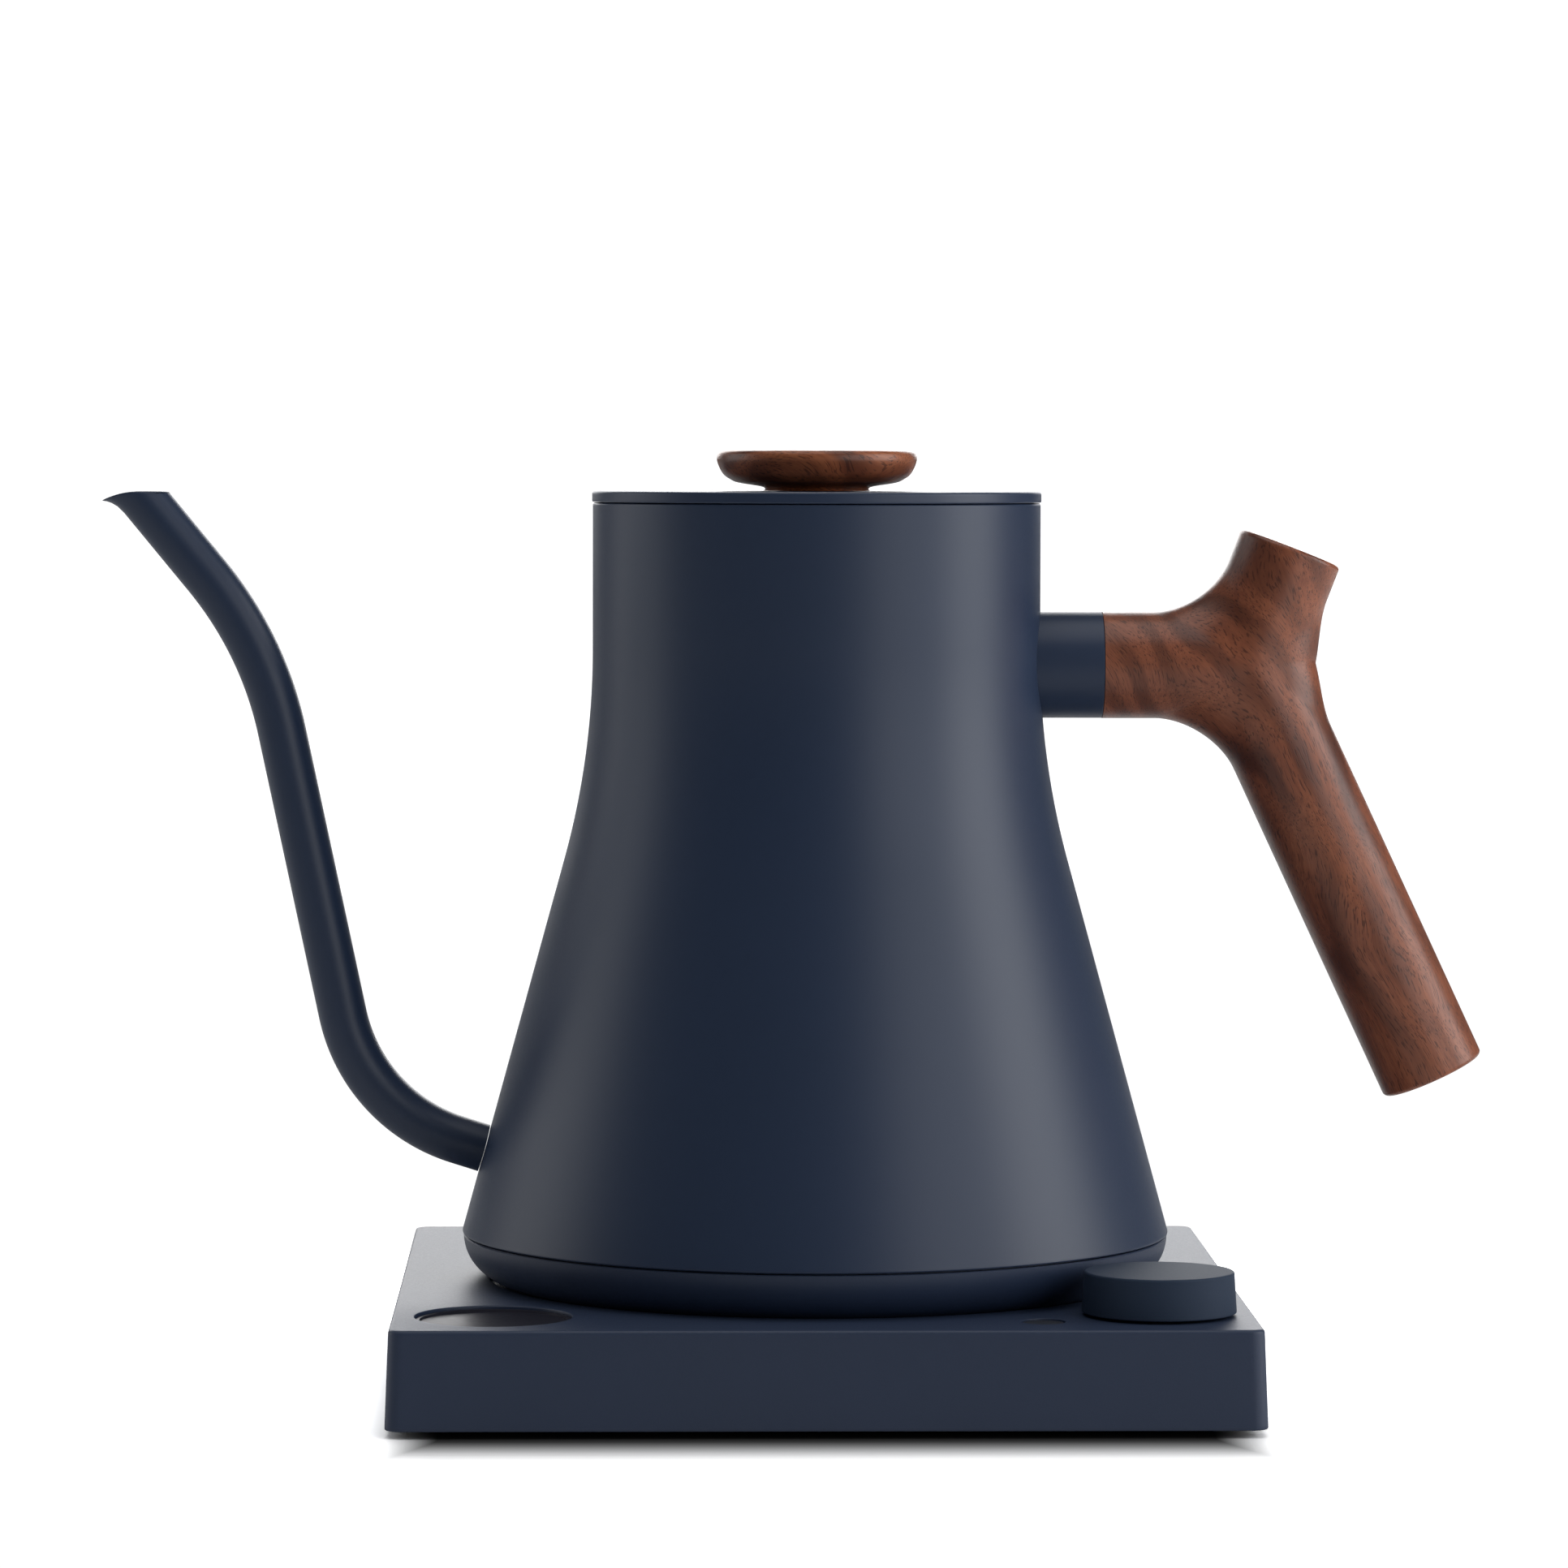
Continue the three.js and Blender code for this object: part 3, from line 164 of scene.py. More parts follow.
@dataclass(frozen=True)
class Finish:
    """A material with its surface: colour, gloss, and the relief of its process.

    Attributes:
        name: Material and process, which names the Blender material.
        slot: The record's material slot.
        colour: Main sRGB colour.
        second: Colour that slow patches lean towards.
        roughness: Mean roughness.
        spread: How far the roughness wanders each way.
        grit: Size of the finest relief, in millimetres.
        relief: Height of that relief, in millimetres.
        patch: Size of the slow patches, in millimetres.
        metallic: 1 for bare metal.
        ior: Index of refraction of a non-metal.
        coat: Weight of a clear top layer.
        coat_roughness: Roughness of that layer.
        sheen: Weight of a dusty edge glow.
        surface: How the surface was made.
    """

    name: str
    slot: str
    colour: str
    second: str
    roughness: float
    spread: float = 0.04
    grit: float = 0.4
    relief: float = 0.01
    patch: float = 25.0
    metallic: float = 0.0
    ior: float = 1.5
    coat: float = 0.0
    coat_roughness: float = 0.3
    sheen: float = 0.0
    surface: Surface = Surface.GRAINED

    def material(self) -> Material:
        """Returns the Blender material, made on first use."""
        ready = bpy.data.materials.get(self.name)
        if ready:
            return ready
        made = empty_material(self.name)
        tree = made.node_tree
        shader = node(tree, "ShaderNodeBsdfPrincipled", self.gloss())
        node(tree, "ShaderNodeOutputMaterial", {"Surface": shader.outputs[0]})
        self.lay_pattern(tree, shader)
        return made

    def gloss(self) -> dict[str, float]:
        """Returns what is the same all over, by the shader's own sockets."""
        even = {
            "Metallic": self.metallic,
            "Coat Weight": self.coat,
            "Coat Roughness": self.coat_roughness,
            "Sheen Weight": self.sheen,
        }
        return even if self.metallic else {**even, "IOR": self.ior}

    def dress(self, tree: NodeTree, shader: Node, colour: NodeSocket, fine: NodeSocket,
              height: NodeSocket) -> None:
        """Links the three patterns to the shader.

        Args:
            tree: The material's tree.
            shader: Its surface shader.
            colour: The colour.
            fine: Pattern from 0 to 1 that the roughness follows.
            height: The relief, 1 being its full height.
        """
        low, high = self.roughness - self.spread, self.roughness + self.spread
        depth = {"Height": height, "Distance": self.relief * MM, "Strength": 1.0}
        tree.links.new(colour, shader.inputs["Base Color"])
        tree.links.new(ramp(tree, fine, 0.0, 1.0, low, high), shader.inputs["Roughness"])
        tree.links.new(node(tree, "ShaderNodeBump", depth).outputs[0], shader.inputs["Normal"])

    def lay_pattern(self, tree: NodeTree, shader: Node) -> None:
        """Links slow patches of colour and the finest relief to the shader."""
        spot = mapped(tree, object_spot(tree), Location=(-AXIS_X, 0.0, 0.0))
        patches = noise(tree, spot, 1 / (self.patch * MM), 3.0).outputs[0]
        tint = blend(tree, patches, linear(self.colour), linear(self.second))
        fine = self.relief_height(tree, spot)
        self.dress(tree, shader, tint, fine, fine)

    def relief_height(self, tree: NodeTree, spot: NodeSocket) -> NodeSocket:
        """Makes the finest relief, between 0 and 1, from a position about the kettle's axis."""
        if self.surface is Surface.ROUND_BRUSHED:
            # Brush lines run round the axis, so they vary with the radius and the height only.
            flat = vector_calc(tree, "MULTIPLY", spot, (1.0, 1.0, 0.0))
            radius = vector_calc(tree, "LENGTH", flat)
            parts = node(tree, "ShaderNodeSeparateXYZ", {0: spot}).outputs
            turn = calc(tree, "ARCTAN2", parts[1], parts[0])
            slow = calc(tree, "MULTIPLY", turn, 2 * MM)
            spot = node(tree, "ShaderNodeCombineXYZ", {0: radius, 1: slow, 2: parts[2]}).outputs[0]
        if self.surface is Surface.LINE_BRUSHED:
            spot = mapped(tree, spot, Scale=(0.03, 1.0, 1.0))
        detail = 0.0 if self.surface is Surface.SMOOTH else 2.0
        return noise(tree, spot, 1 / (self.grit * MM), detail).outputs[0]


@dataclass(frozen=True)
class WalnutFinish(Finish):
    """Oiled black walnut, turned and sanded from one block.

    Attributes:
        lean: Angle of the grain below +X in the XZ plane, in degrees.
        dark: Colour of the late wood and the pores.
        light: Colour of the early wood.
        ring: Spacing of the growth rings, in millimetres.
        pith: Where the rings are centred, across the grain (front to back, and up), in millimetres.
        pore_long: Length of a pore streak, in millimetres.
        pore_wide: Width of a pore streak, in millimetres.
        bend: How often the fibres bend, along and across the grain, in bends per metre.
        sway: How far they bend, in metres.
        fibre: How often the fibre streaks change, along and across the grain, per metre.
    """

    lean: float = 65.0
    dark: str = "#2e140d"
    light: str = "#b06c4c"
    ring: float = 8.0
    pith: tuple[float, float] = (38.0, 22.0)
    pore_long: float = 2.4
    pore_wide: float = 0.24
    bend: tuple[float, float, float] = (16.0, 26.0, 26.0)
    sway: float = 0.034
    fibre: tuple[float, float, float] = (45.0, 1400.0, 1400.0)

    def swayed_spot(self, tree: NodeTree) -> NodeSocket:
        """Returns the position along and across the grain, with the slow bends of the fibres."""
        turn = (0.0, -math.radians(self.lean), 0.0)
        along = mapped(tree, object_spot(tree), Rotation=turn)
        bend = noise(tree, mapped(tree, along, Scale=self.bend), 1.0).outputs["Color"]
        sway = vector_calc(tree, "SUBTRACT", bend, (0.5, 0.5, 0.5))
        return vector_calc(tree, "MULTIPLY_ADD", sway, (0.0, self.sway, self.sway), along)

    def ring_bands(self, tree: NodeTree, spot: NodeSocket) -> NodeSocket:
        """Returns the growth rings: cylinders about the pith, tipped a little from the grain.

        They cut the surface in long bands, and in arches where it turns away.
        """
        pith = (0.0, self.pith[0] * MM, self.pith[1] * MM)
        centred = mapped(tree, spot, Location=pith, Rotation=(0.0, 0.10, 0.16))
        across = vector_calc(tree, "MULTIPLY", centred, (0.0, 1.0, 1.0))
        radius = vector_calc(tree, "LENGTH", across)
        wave = calc(tree, "SINE", calc(tree, "MULTIPLY", radius, 2 * math.pi / (self.ring * MM)))
        return ramp(tree, wave, -1.0, 1.0, 0.0, 1.0, "SMOOTHERSTEP")

    def lay_pattern(self, tree: NodeTree, shader: Node) -> None:
        """Links growth rings, figure and open pores to the shader."""
        spot = self.swayed_spot(tree)
        bands = self.ring_bands(tree, spot)
        fibre = noise(tree, mapped(tree, spot, Scale=self.fibre), 1.0, 4.0, 0.6).outputs[0]
        patches = noise(tree, spot, 1 / (self.patch * MM)).outputs[0]
        ground = blend(tree, patches, linear(self.colour), linear(self.light))
        # The rings fade in and out from place to place.
        weight = ramp(tree, patches, 0.36, 0.64, 0.66, 0.2)
        ringed = calc(tree, "MULTIPLY", bands, weight)
        figured = blend(tree, ringed, ground, linear(self.dark))
        streak = ramp(tree, fibre, 0.35, 0.7, 0.0, 0.5)
        fibrous = blend(tree, streak, figured, linear(self.second))
        # Open pores are short dark slits.
        along, across = 1 / (self.pore_long * MM), 1 / (self.pore_wide * MM)
        drawn = mapped(tree, spot, Scale=(along, across, across))
        slit = ramp(tree, noise(tree, drawn, 0.8, 1.0).outputs[0], 0.57, 0.65, 0.0, 0.6)
        coloured = blend(tree, slit, fibrous, linear(self.dark))
        height = calc(tree, "MULTIPLY_ADD", fibre, 0.5, calc(tree, "MULTIPLY", slit, -1.0))
        self.dress(tree, shader, coloured, fibre, height)


@dataclass(frozen=True)
class BoardFinish(Finish):
    """Printed circuit board: green solder mask over copper tracks.

    Attributes:
        track: Pitch of the tracks, in millimetres.
        copper: Colour of the mask where copper lies under it.
    """

    track: float = 3.0
    copper: str = "#2f7d4c"

    def lay_pattern(self, tree: NodeTree, shader: Node) -> None:
        """Links a pattern of tracks to colour and relief."""
        place = object_spot(tree)
        inputs = {
            "Vector": place,
            "Color1": linear(self.colour),
            "Color2": linear(self.second),
            "Mortar": linear(self.copper),
            "Scale": 1 / (2 * self.track * MM),
            "Mortar Size": 0.05,
        }
        tracks = node(tree, "ShaderNodeTexBrick", inputs).outputs
        grain = noise(tree, place, 1 / (self.grit * MM)).outputs[0]
        self.dress(tree, shader, tracks[0], grain, tracks[1])


# Polyester powder baked on steel: an even satin film with a faint orange peel.
POWDER = Finish(
    "Powder-coated steel", "powder_coat_shell", "#213048", "#25344f",
    roughness=0.42, spread=0.03, grit=0.7, relief=0.003, patch=60.0, ior=1.5,
)
# ABS from a spark-eroded mould: fine even grain that sparkles a little at the edges of a highlight.
MOULDED = Finish(
    "Spark-eroded ABS moulding", "moulded_blue", "#223048", "#273550",
    roughness=0.5, spread=0.08, grit=0.38, relief=0.016, patch=40.0, ior=1.52,
)
# The same ABS under a soft-touch lacquer, which takes the shine off flat faces seen edge on.
SOFT_TOUCH = Finish(
    "Soft-touch lacquer on ABS", "moulded_blue", "#263346", "#2b394e",
    roughness=0.68, spread=0.06, grit=0.3, relief=0.008, patch=30.0, ior=1.34,
)
# Glass-filled nylon: dull, nearly black.
NYLON = Finish(
    "Glass-filled nylon moulding", "dark_moulding", "#0f1218", "#16191f",
    roughness=0.6, spread=0.08, grit=0.5, relief=0.012, patch=12.0,
)
WALNUT = WalnutFinish(
    "Oiled walnut, grain down the grip", "walnut", "#80442e", "#5a2a1d",
    roughness=0.37, spread=0.07, relief=0.025, patch=28.0, ior=1.42, coat=0.25, coat_roughness=0.3,
)
# Lighter and redder walnut than the grip's: partly the knob's own wood, and partly painted light,
# raised to stand for the light on the knob at the top.
WALNUT_KNOB_PAINTED_LIGHTER = WalnutFinish(
    "Oiled walnut, grain across the knob", "walnut", "#98502f", "#6d3420",
    roughness=0.4, spread=0.07, relief=0.02, patch=18.0, ior=1.42, coat=0.25, coat_roughness=0.3,
    light="#c47a50", lean=0.0, ring=5.0, pith=(30.0, -150.0),
)
# Spun and brushed 18/8 stainless: fine lines round the axis that stretch highlights sideways.
STAINLESS = Finish(
    "Round-brushed stainless steel", "stainless_steel", "#b7b9bc", "#c2c4c6",
    roughness=0.3, spread=0.07, grit=0.25, relief=0.004, patch=30.0, metallic=1.0,
    surface=Surface.ROUND_BRUSHED,
)
SCREW_STEEL = Finish(
    "Zinc-plated screw steel", "stainless_steel", "#a9acb0", "#babcc0",
    roughness=0.33, spread=0.06, grit=0.3, relief=0.003, patch=3.0, metallic=1.0,
)
ALUMINIUM = Finish(
    "Cast aluminium", "aluminium", "#b9bcbf", "#c8cacc",
    roughness=0.46, spread=0.08, grit=0.5, relief=0.012, patch=9.0, metallic=1.0,
)
BRASS = Finish(
    "Turned brass", "brass", "#b8974c", "#c9a85c",
    roughness=0.3, spread=0.05, grit=0.2, relief=0.004, patch=4.0, metallic=1.0,
    surface=Surface.LINE_BRUSHED,
)
SILICONE = Finish(
    "Moulded silicone rubber", "silicone", "#85888c", "#94979a",
    roughness=0.62, spread=0.08, grit=0.6, relief=0.008, patch=8.0, ior=1.41, sheen=0.15,
)
DARK_SILICONE = Finish(
    "Black moulded silicone", "dark_silicone", "#1d1f23", "#25272b",
    roughness=0.66, spread=0.08, grit=0.6, relief=0.008, patch=8.0, ior=1.41, sheen=0.1,
)
FOOT_RUBBER = Finish(
    "Moulded foot rubber", "foot_rubber", "#17181a", "#202123",
    roughness=0.82, spread=0.06, grit=0.5, relief=0.02, patch=5.0, sheen=0.1,
)
# Tinted polycarbonate over a dark display: smooth, so it holds a clear soft reflection.
SMOKED = Finish(
    "Coated smoked polycarbonate window", "smoked_lens", "#2a2a32", "#2d2d36",
    roughness=0.34, spread=0.03, grit=1.2, relief=0.001, patch=20.0, ior=1.09,
    surface=Surface.SMOOTH,
)
# The same plastic with a frosted face, so it takes the light of the deck round it.
FROSTED = Finish(
    "Frosted polycarbonate light pipe", "smoked_lens", "#262a33", "#2c3039",
    roughness=0.46, spread=0.05, grit=0.3, relief=0.006, patch=6.0, ior=1.55,
)
BOARD = BoardFinish(
    "Solder-masked circuit board", "circuit_board", "#174a30", "#1b5537",
    roughness=0.42, spread=0.06, grit=0.8, relief=0.03,
)
COMPONENT = Finish(
    "Moulded epoxy component", "component_black", "#141517", "#1d1e20",
    roughness=0.5, spread=0.08, grit=0.3, relief=0.01, patch=4.0,
)
LIVE = Finish(
    "Brown PVC insulation", "live_insulation", "#6d3320", "#7a3b26",
    roughness=0.48, spread=0.06, grit=0.8, relief=0.008, patch=6.0,
)
NEUTRAL = Finish(
    "Blue PVC insulation", "neutral_insulation", "#2559a6", "#2d65b6",
    roughness=0.48, spread=0.06, grit=0.8, relief=0.008, patch=6.0,
)
EARTH = Finish(
    "Green and yellow PVC insulation", "earth_insulation", "#3f8a34", "#c9c13a",
    roughness=0.48, spread=0.06, grit=0.8, relief=0.008, patch=3.0,
)


# ------------------------------------------------------------------ outlines
def eased(corners: Sequence[Point], steps: int = 5, ring: bool = False) -> Profile:
    """Rounds the corners of an outline and keeps its straight runs straight.

    Args:
        corners: Points with a corner radius each; 0 leaves a corner sharp.
        steps: Facets in each rounded corner.
        ring: True if the outline closes on itself.

    Returns:
        The outline's points.
    """
    hold = 0.3  # a point this far past a rounded corner keeps the next face's shading flat
    made: Profile = []
    count = len(corners)
    for i, (x, z, r) in enumerate(corners):
        here = Vector((x, z))
        if r <= 0 or (not ring and i in (0, count - 1)):
            made.append((x, z))
            continue
        back = Vector(corners[i - 1][:2]) - here
        ahead = Vector(corners[(i + 1) % count][:2]) - here
        half = back.angle(ahead) / 2
        reach = min(r / math.tan(half), 0.48 * back.length, 0.48 * ahead.length)
        r = reach * math.tan(half)
        start = here + back.normalized() * reach
        middle = here + (back.normalized() + ahead.normalized()).normalized() * (r / math.sin(half))
        spoke = start - middle
        sweep = math.pi - 2 * half
        if back.x * ahead.y - back.y * ahead.x > 0:
            sweep = -sweep
        if back.length > 2 * (reach + hold):
            made.append(tuple(here + back.normalized() * (reach + hold)))
        for k in range(steps + 1):
            c, s = math.cos(sweep * k / steps), math.sin(sweep * k / steps)
            swung = Vector((spoke.x * c - spoke.y * s, spoke.x * s + spoke.y * c))
            made.append(tuple(middle + swung))
        if ahead.length > 2 * (reach + hold):
            made.append(tuple(here + ahead.normalized() * (reach + hold)))
    return made


def smooth_through(points: Profile, steps: int = 6) -> Profile:
    """Runs a smooth line through points.

    Args:
        points: Points on the line.
        steps: Pieces between two points.

    Returns:
        The finer line.
    """
    rail = [points[0], *points, points[-1]]
    made: Profile = []
    for i in range(1, len(rail) - 2):
        p = [np.array(rail[i + k]) for k in (-1, 0, 1, 2)]
        for k in range(steps):
            t = k / steps
            spot = (
                2 * p[1]
                + (p[2] - p[0]) * t
                + (2 * p[0] - 5 * p[1] + 4 * p[2] - p[3]) * t**2
                + (3 * p[1] - p[0] - 3 * p[2] + p[3]) * t**3
            )
            made.append(tuple(0.5 * spot))
    made.append(points[-1])
    return made


# ------------------------------------------------------------------ meshes
Placer = Callable[[float, float, float], Point]


def about_z(x: float = 0.0, y: float = 0.0) -> Placer:
    """Places radius, angle and height about an upright axis at x, y."""
    return lambda r, a, h: (x + r * math.cos(a), y + r * math.sin(a), h)


def about_x(z: float) -> Placer:
    """Places radius, angle and distance about an axis along X at height z."""
    return lambda r, a, h: (h, r * math.cos(a), z + r * math.sin(a))


def about_y(x: float, z: float) -> Placer:
    """Places radius, angle and distance about an axis along Y."""
    return lambda r, a, h: (x + r * math.cos(a), h, z + r * math.sin(a))


@dataclass
class Skin:
    """A mesh in the making, in millimetres from the kettle's axis."""

    points: list[Point] = field(default_factory=list)
    faces: list[tuple[int, ...]] = field(default_factory=list)
    flats: list[list[Loop]] = field(default_factory=list)

    def loop(self, points: Iterable[Sequence[float]]) -> Loop:
        """Adds a loop of points and returns their numbers."""
        first = len(self.points)
        self.points.extend(tuple(float(v) for v in p) for p in points)
        return list(range(first, len(self.points)))

    def circle(self, r: float, h: float, placer: Placer, segments: int) -> Loop:
        """Adds a circle and returns its point numbers; a radius of 0 gives one point."""
        if r < 1e-6:
            return self.loop([placer(0.0, 0.0, h)])
        return self.loop(placer(r, 2 * math.pi * k / segments, h) for k in range(segments))

    def bridge(self, low: Loop, high: Loop) -> None:
        """Joins two loops with faces; either may be a single point."""
        count = max(len(low), len(high))
        for i in range(count):
            j = (i + 1) % count
            if len(low) == 1:
                self.faces.append((low[0], high[j], high[i]))
            elif len(high) == 1:
                self.faces.append((low[i], low[j], high[0]))
            else:
                self.faces.append((low[i], low[j], high[j], high[i]))

    def chain(self, loops: Sequence[Loop], ring: bool = False) -> None:
        """Joins each loop to the next, and the last to the first if ring is true."""
        for low, high in zip(loops, loops[1:]):
            self.bridge(low, high)
        if ring:
            self.bridge(loops[-1], loops[0])

    def turn(self, outline: Profile, placer: Placer | None = None, segments: int = 64,
             ring: bool = False) -> list[Loop]:
        """Turns an outline about an axis.

        Args:
            outline: Radius and height of each point.
            placer: The axis; the kettle's own if not given.
            segments: Facets round the axis.
            ring: True if the outline closes on itself.

        Returns:
            The loops, one for each point of the outline.
        """
        loops = [self.circle(r, h, placer or about_z(), segments) for r, h in outline]
        self.chain(loops, ring)
        return loops

    def flat(self, *loops: Loop) -> None:
        """Fills the flat area between loops: the first is the outer edge, the others are holes."""
        self.flats.append(list(loops))

    def mesh(self, name: str, sharp: float = 40.0) -> Mesh:
        """Makes the Blender mesh, closed, facing out, in metres on the frame's axis.

        Args:
            name: Name of the mesh.
            sharp: Edges that turn more than this many degrees are shaded sharp.

        Returns:
            The mesh.
        """
        work = bmesh.new()
        verts = [work.verts.new(p) for p in self.points]
        for face in self.faces:
            if len(set(face)) > 2:
                work.faces.new([verts[i] for i in face])
        for loops in self.flats:
            edges = []
            for loop in loops:
                for a, b in zip(loop, loop[1:] + loop[:1]):
                    ends = (verts[a], verts[b])
                    edges.append(work.edges.get(ends) or work.edges.new(ends))
            bmesh.ops.triangle_fill(work, edges=edges, use_beauty=True, use_dissolve=False)
        bmesh.ops.remove_doubles(work, verts=work.verts, dist=0.002)
        bmesh.ops.recalc_face_normals(work, faces=work.faces)
        work.transform(Matrix.Translation((AXIS_X, 0, 0)) @ Matrix.Scale(MM, 4))
        made = bpy.data.meshes.new(name)
        work.to_mesh(made)
        work.free()
        return shaded(made, sharp)


def shaded(mesh: Mesh, sharp: float = 40.0) -> Mesh:
    """Shades a mesh smooth, but for edges that turn more than so many degrees, and returns it."""
    mesh.shade_smooth()
    mesh.set_sharp_from_angle(angle=math.radians(sharp))
    return mesh


def placed(name: str, data: bpy.types.ID) -> Object:
    """Adds an object to the scene and returns it."""
    made = bpy.data.objects.new(name, data)
    bpy.context.scene.collection.objects.link(made)
    return made


def piece(name: str, mesh: Mesh, finish: Finish, body: str, nodes: Sequence[str]) -> Object:
    """Shows a finished mesh in place of CAD nodes.

    Args:
        name: Name of the piece.
        mesh: The finished mesh, in the frame.
        finish: What it is made of.
        body: The moving body that it belongs to.
        nodes: The CAD nodes that it stands for.

    Returns:
        The object.
    """
    made = placed(name, mesh)
    mesh.materials.clear()
    mesh.materials.append(finish.material())
    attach(made, body)
    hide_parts(*nodes)
    LOG.info("%s: %d faces, %s, on %s", name, len(mesh.polygons), finish.name, body)
    return made


def turned(name: str, outline: Profile, finish: Finish, body: str, stands_for: str,
           placer: Placer | None = None, segments: int = 96, ring: bool = False) -> None:
    """Shows a turned piece in place of one CAD node.

    Args:
        name: Name of the piece.
        outline: Radius and height of each point.
        finish: What it is made of.
        body: The moving body that it belongs to.
        stands_for: The CAD node.
        placer: The axis; the kettle's own if not given.
        segments: Facets round the axis.
        ring: True if the outline closes on itself.
    """
    skin = Skin()
    skin.turn(outline, placer, segments, ring)
    piece(name, skin.mesh(name), finish, body, [stands_for])


def bored(mesh: Mesh, tool: Mesh) -> Mesh:
    """Cuts one closed mesh out of another and returns the result."""
    objects = [placed("work", mesh), placed("tool", tool)]
    cut = objects[0].modifiers.new("Cut", "BOOLEAN")
    cut.operation = "DIFFERENCE"
    cut.solver = "EXACT"
    cut.object = objects[1]
    shape = objects[0].evaluated_get(bpy.context.evaluated_depsgraph_get())
    result = bpy.data.meshes.new_from_object(shape)
    for made in objects:
        bpy.data.objects.remove(made)
    return shaded(result)


# ------------------------------------------------------------------ geometry nodes
class Socket(Enum):
    """Kinds of input that the geometry trees take."""

    GEOMETRY = "NodeSocketGeometry"
    LENGTH = "NodeSocketFloat"
    COUNT = "NodeSocketInt"
    PART = "NodeSocketObject"
    MATERIAL = "NodeSocketMaterial"


def start_tree(
    name: str, sockets: dict[str, Socket]
) -> tuple[NodeTree, bpy.types.bpy_prop_collection]:
    """Starts a geometry tree with named inputs and one geometry output.

    Args:
        name: Name of the tree.
        sockets: Input name to its kind.

    Returns:
        The tree and its inputs by name.
    """
    tree = bpy.data.node_groups.new(name, "GeometryNodeTree")
    for label, kind in sockets.items():
        tree.interface.new_socket(label, in_out="INPUT", socket_type=kind.value)
    tree.interface.new_socket("Geometry", in_out="OUTPUT", socket_type=Socket.GEOMETRY.value)
    return tree, node(tree, "NodeGroupInput").outputs


def end_tree(tree: NodeTree, shape: NodeSocket, material: NodeSocket) -> None:
    """Ends a tree in Realize Instances and Set Material."""
    real = node(tree, "GeometryNodeRealizeInstances", {0: shape}).outputs[0]
    dress = {"Geometry": real, "Material": material}
    node(tree, "NodeGroupOutput", {0: node(tree, "GeometryNodeSetMaterial", dress).outputs[0]})


def grown(name: str, seed: Mesh, tree: NodeTree, values: dict) -> Mesh:
    """Runs a geometry tree on a mesh.

    Args:
        name: Name of the new mesh.
        seed: The points or lines that the tree starts from.
        tree: The geometry tree.
        values: Input name to value.

    Returns:
        The result as a plain mesh.
    """
    host = placed(name, seed)
    modifier = host.modifiers.new("Tree", "NODES")
    modifier.node_group = tree
    for item in tree.interface.items_tree:
        if item.in_out == "INPUT" and item.name in values:
            modifier[item.identifier] = values[item.name]
    shape = host.evaluated_get(bpy.context.evaluated_depsgraph_get())
    result = bpy.data.meshes.new_from_object(shape)
    result.name = name
    bpy.data.objects.remove(host)
    return result


def copies_tree() -> NodeTree:
    """Returns the tree that stands one part on each point, each turned by its own angle."""
    sockets = {
        "Geometry": Socket.GEOMETRY,
        "Part": Socket.PART,
        "Largest turn": Socket.LENGTH,
        "Seed": Socket.COUNT,
        "Material": Socket.MATERIAL,
    }
    tree, given = start_tree("Part On Each Point", sockets)
    wanted = {"Object": given["Part"], "As Instance": True}
    part = node(tree, "GeometryNodeObjectInfo", wanted).outputs["Geometry"]
    # The float sockets of Random Value are its second pair: 3 is the largest, and output 1.
    limits = {3: given["Largest turn"], "Seed": given["Seed"]}
    angle = node(tree, "FunctionNodeRandomValue", limits, data_type="FLOAT").outputs[1]
    turn = node(tree, "ShaderNodeCombineXYZ", {2: angle}).outputs[0]
    spread = {"Points": given["Geometry"], "Instance": part, "Rotation": turn}
    stood = node(tree, "GeometryNodeInstanceOnPoints", spread).outputs[0]
    end_tree(tree, stood, given["Material"])
    return tree


def rod_tree() -> NodeTree:
    """Returns the tree that runs a round rod along a line of points."""
    sockets = {
        "Geometry": Socket.GEOMETRY,
        "Radius": Socket.LENGTH,
        "Step": Socket.LENGTH,
        "Sides": Socket.COUNT,
        "Material": Socket.MATERIAL,
    }
    tree, given = start_tree("Rod Along Line", sockets)
    line = node(tree, "GeometryNodeMeshToCurve", {0: given["Geometry"]}).outputs[0]
    soft = node(tree, "GeometryNodeCurveSplineType", {0: line}, spline_type="CATMULL_ROM")
    spacing = {"Curve": soft.outputs[0], "Length": given["Step"]}
    even = node(tree, "GeometryNodeResampleCurve", spacing, mode="LENGTH").outputs[0]
    size = {"Resolution": given["Sides"], "Radius": given["Radius"]}
    section = node(tree, "GeometryNodeCurvePrimitiveCircle", size).outputs[0]
    sweep = {"Curve": even, "Profile Curve": section, "Fill Caps": True}
    end_tree(tree, node(tree, "GeometryNodeCurveToMesh", sweep).outputs[0], given["Material"])
    return tree


def line_mesh(points: Sequence[Sequence[float]], joined: bool = True) -> Mesh:
    """Makes a mesh of bare points, joined in a line if asked, in metres on the frame's axis."""
    made = bpy.data.meshes.new("line")
    place = [(x * MM + AXIS_X, y * MM, z * MM) for x, y, z in points]
    edges = [(i, i + 1) for i in range(len(points) - 1)] if joined else []
    made.from_pydata(place, edges, [])
    return made


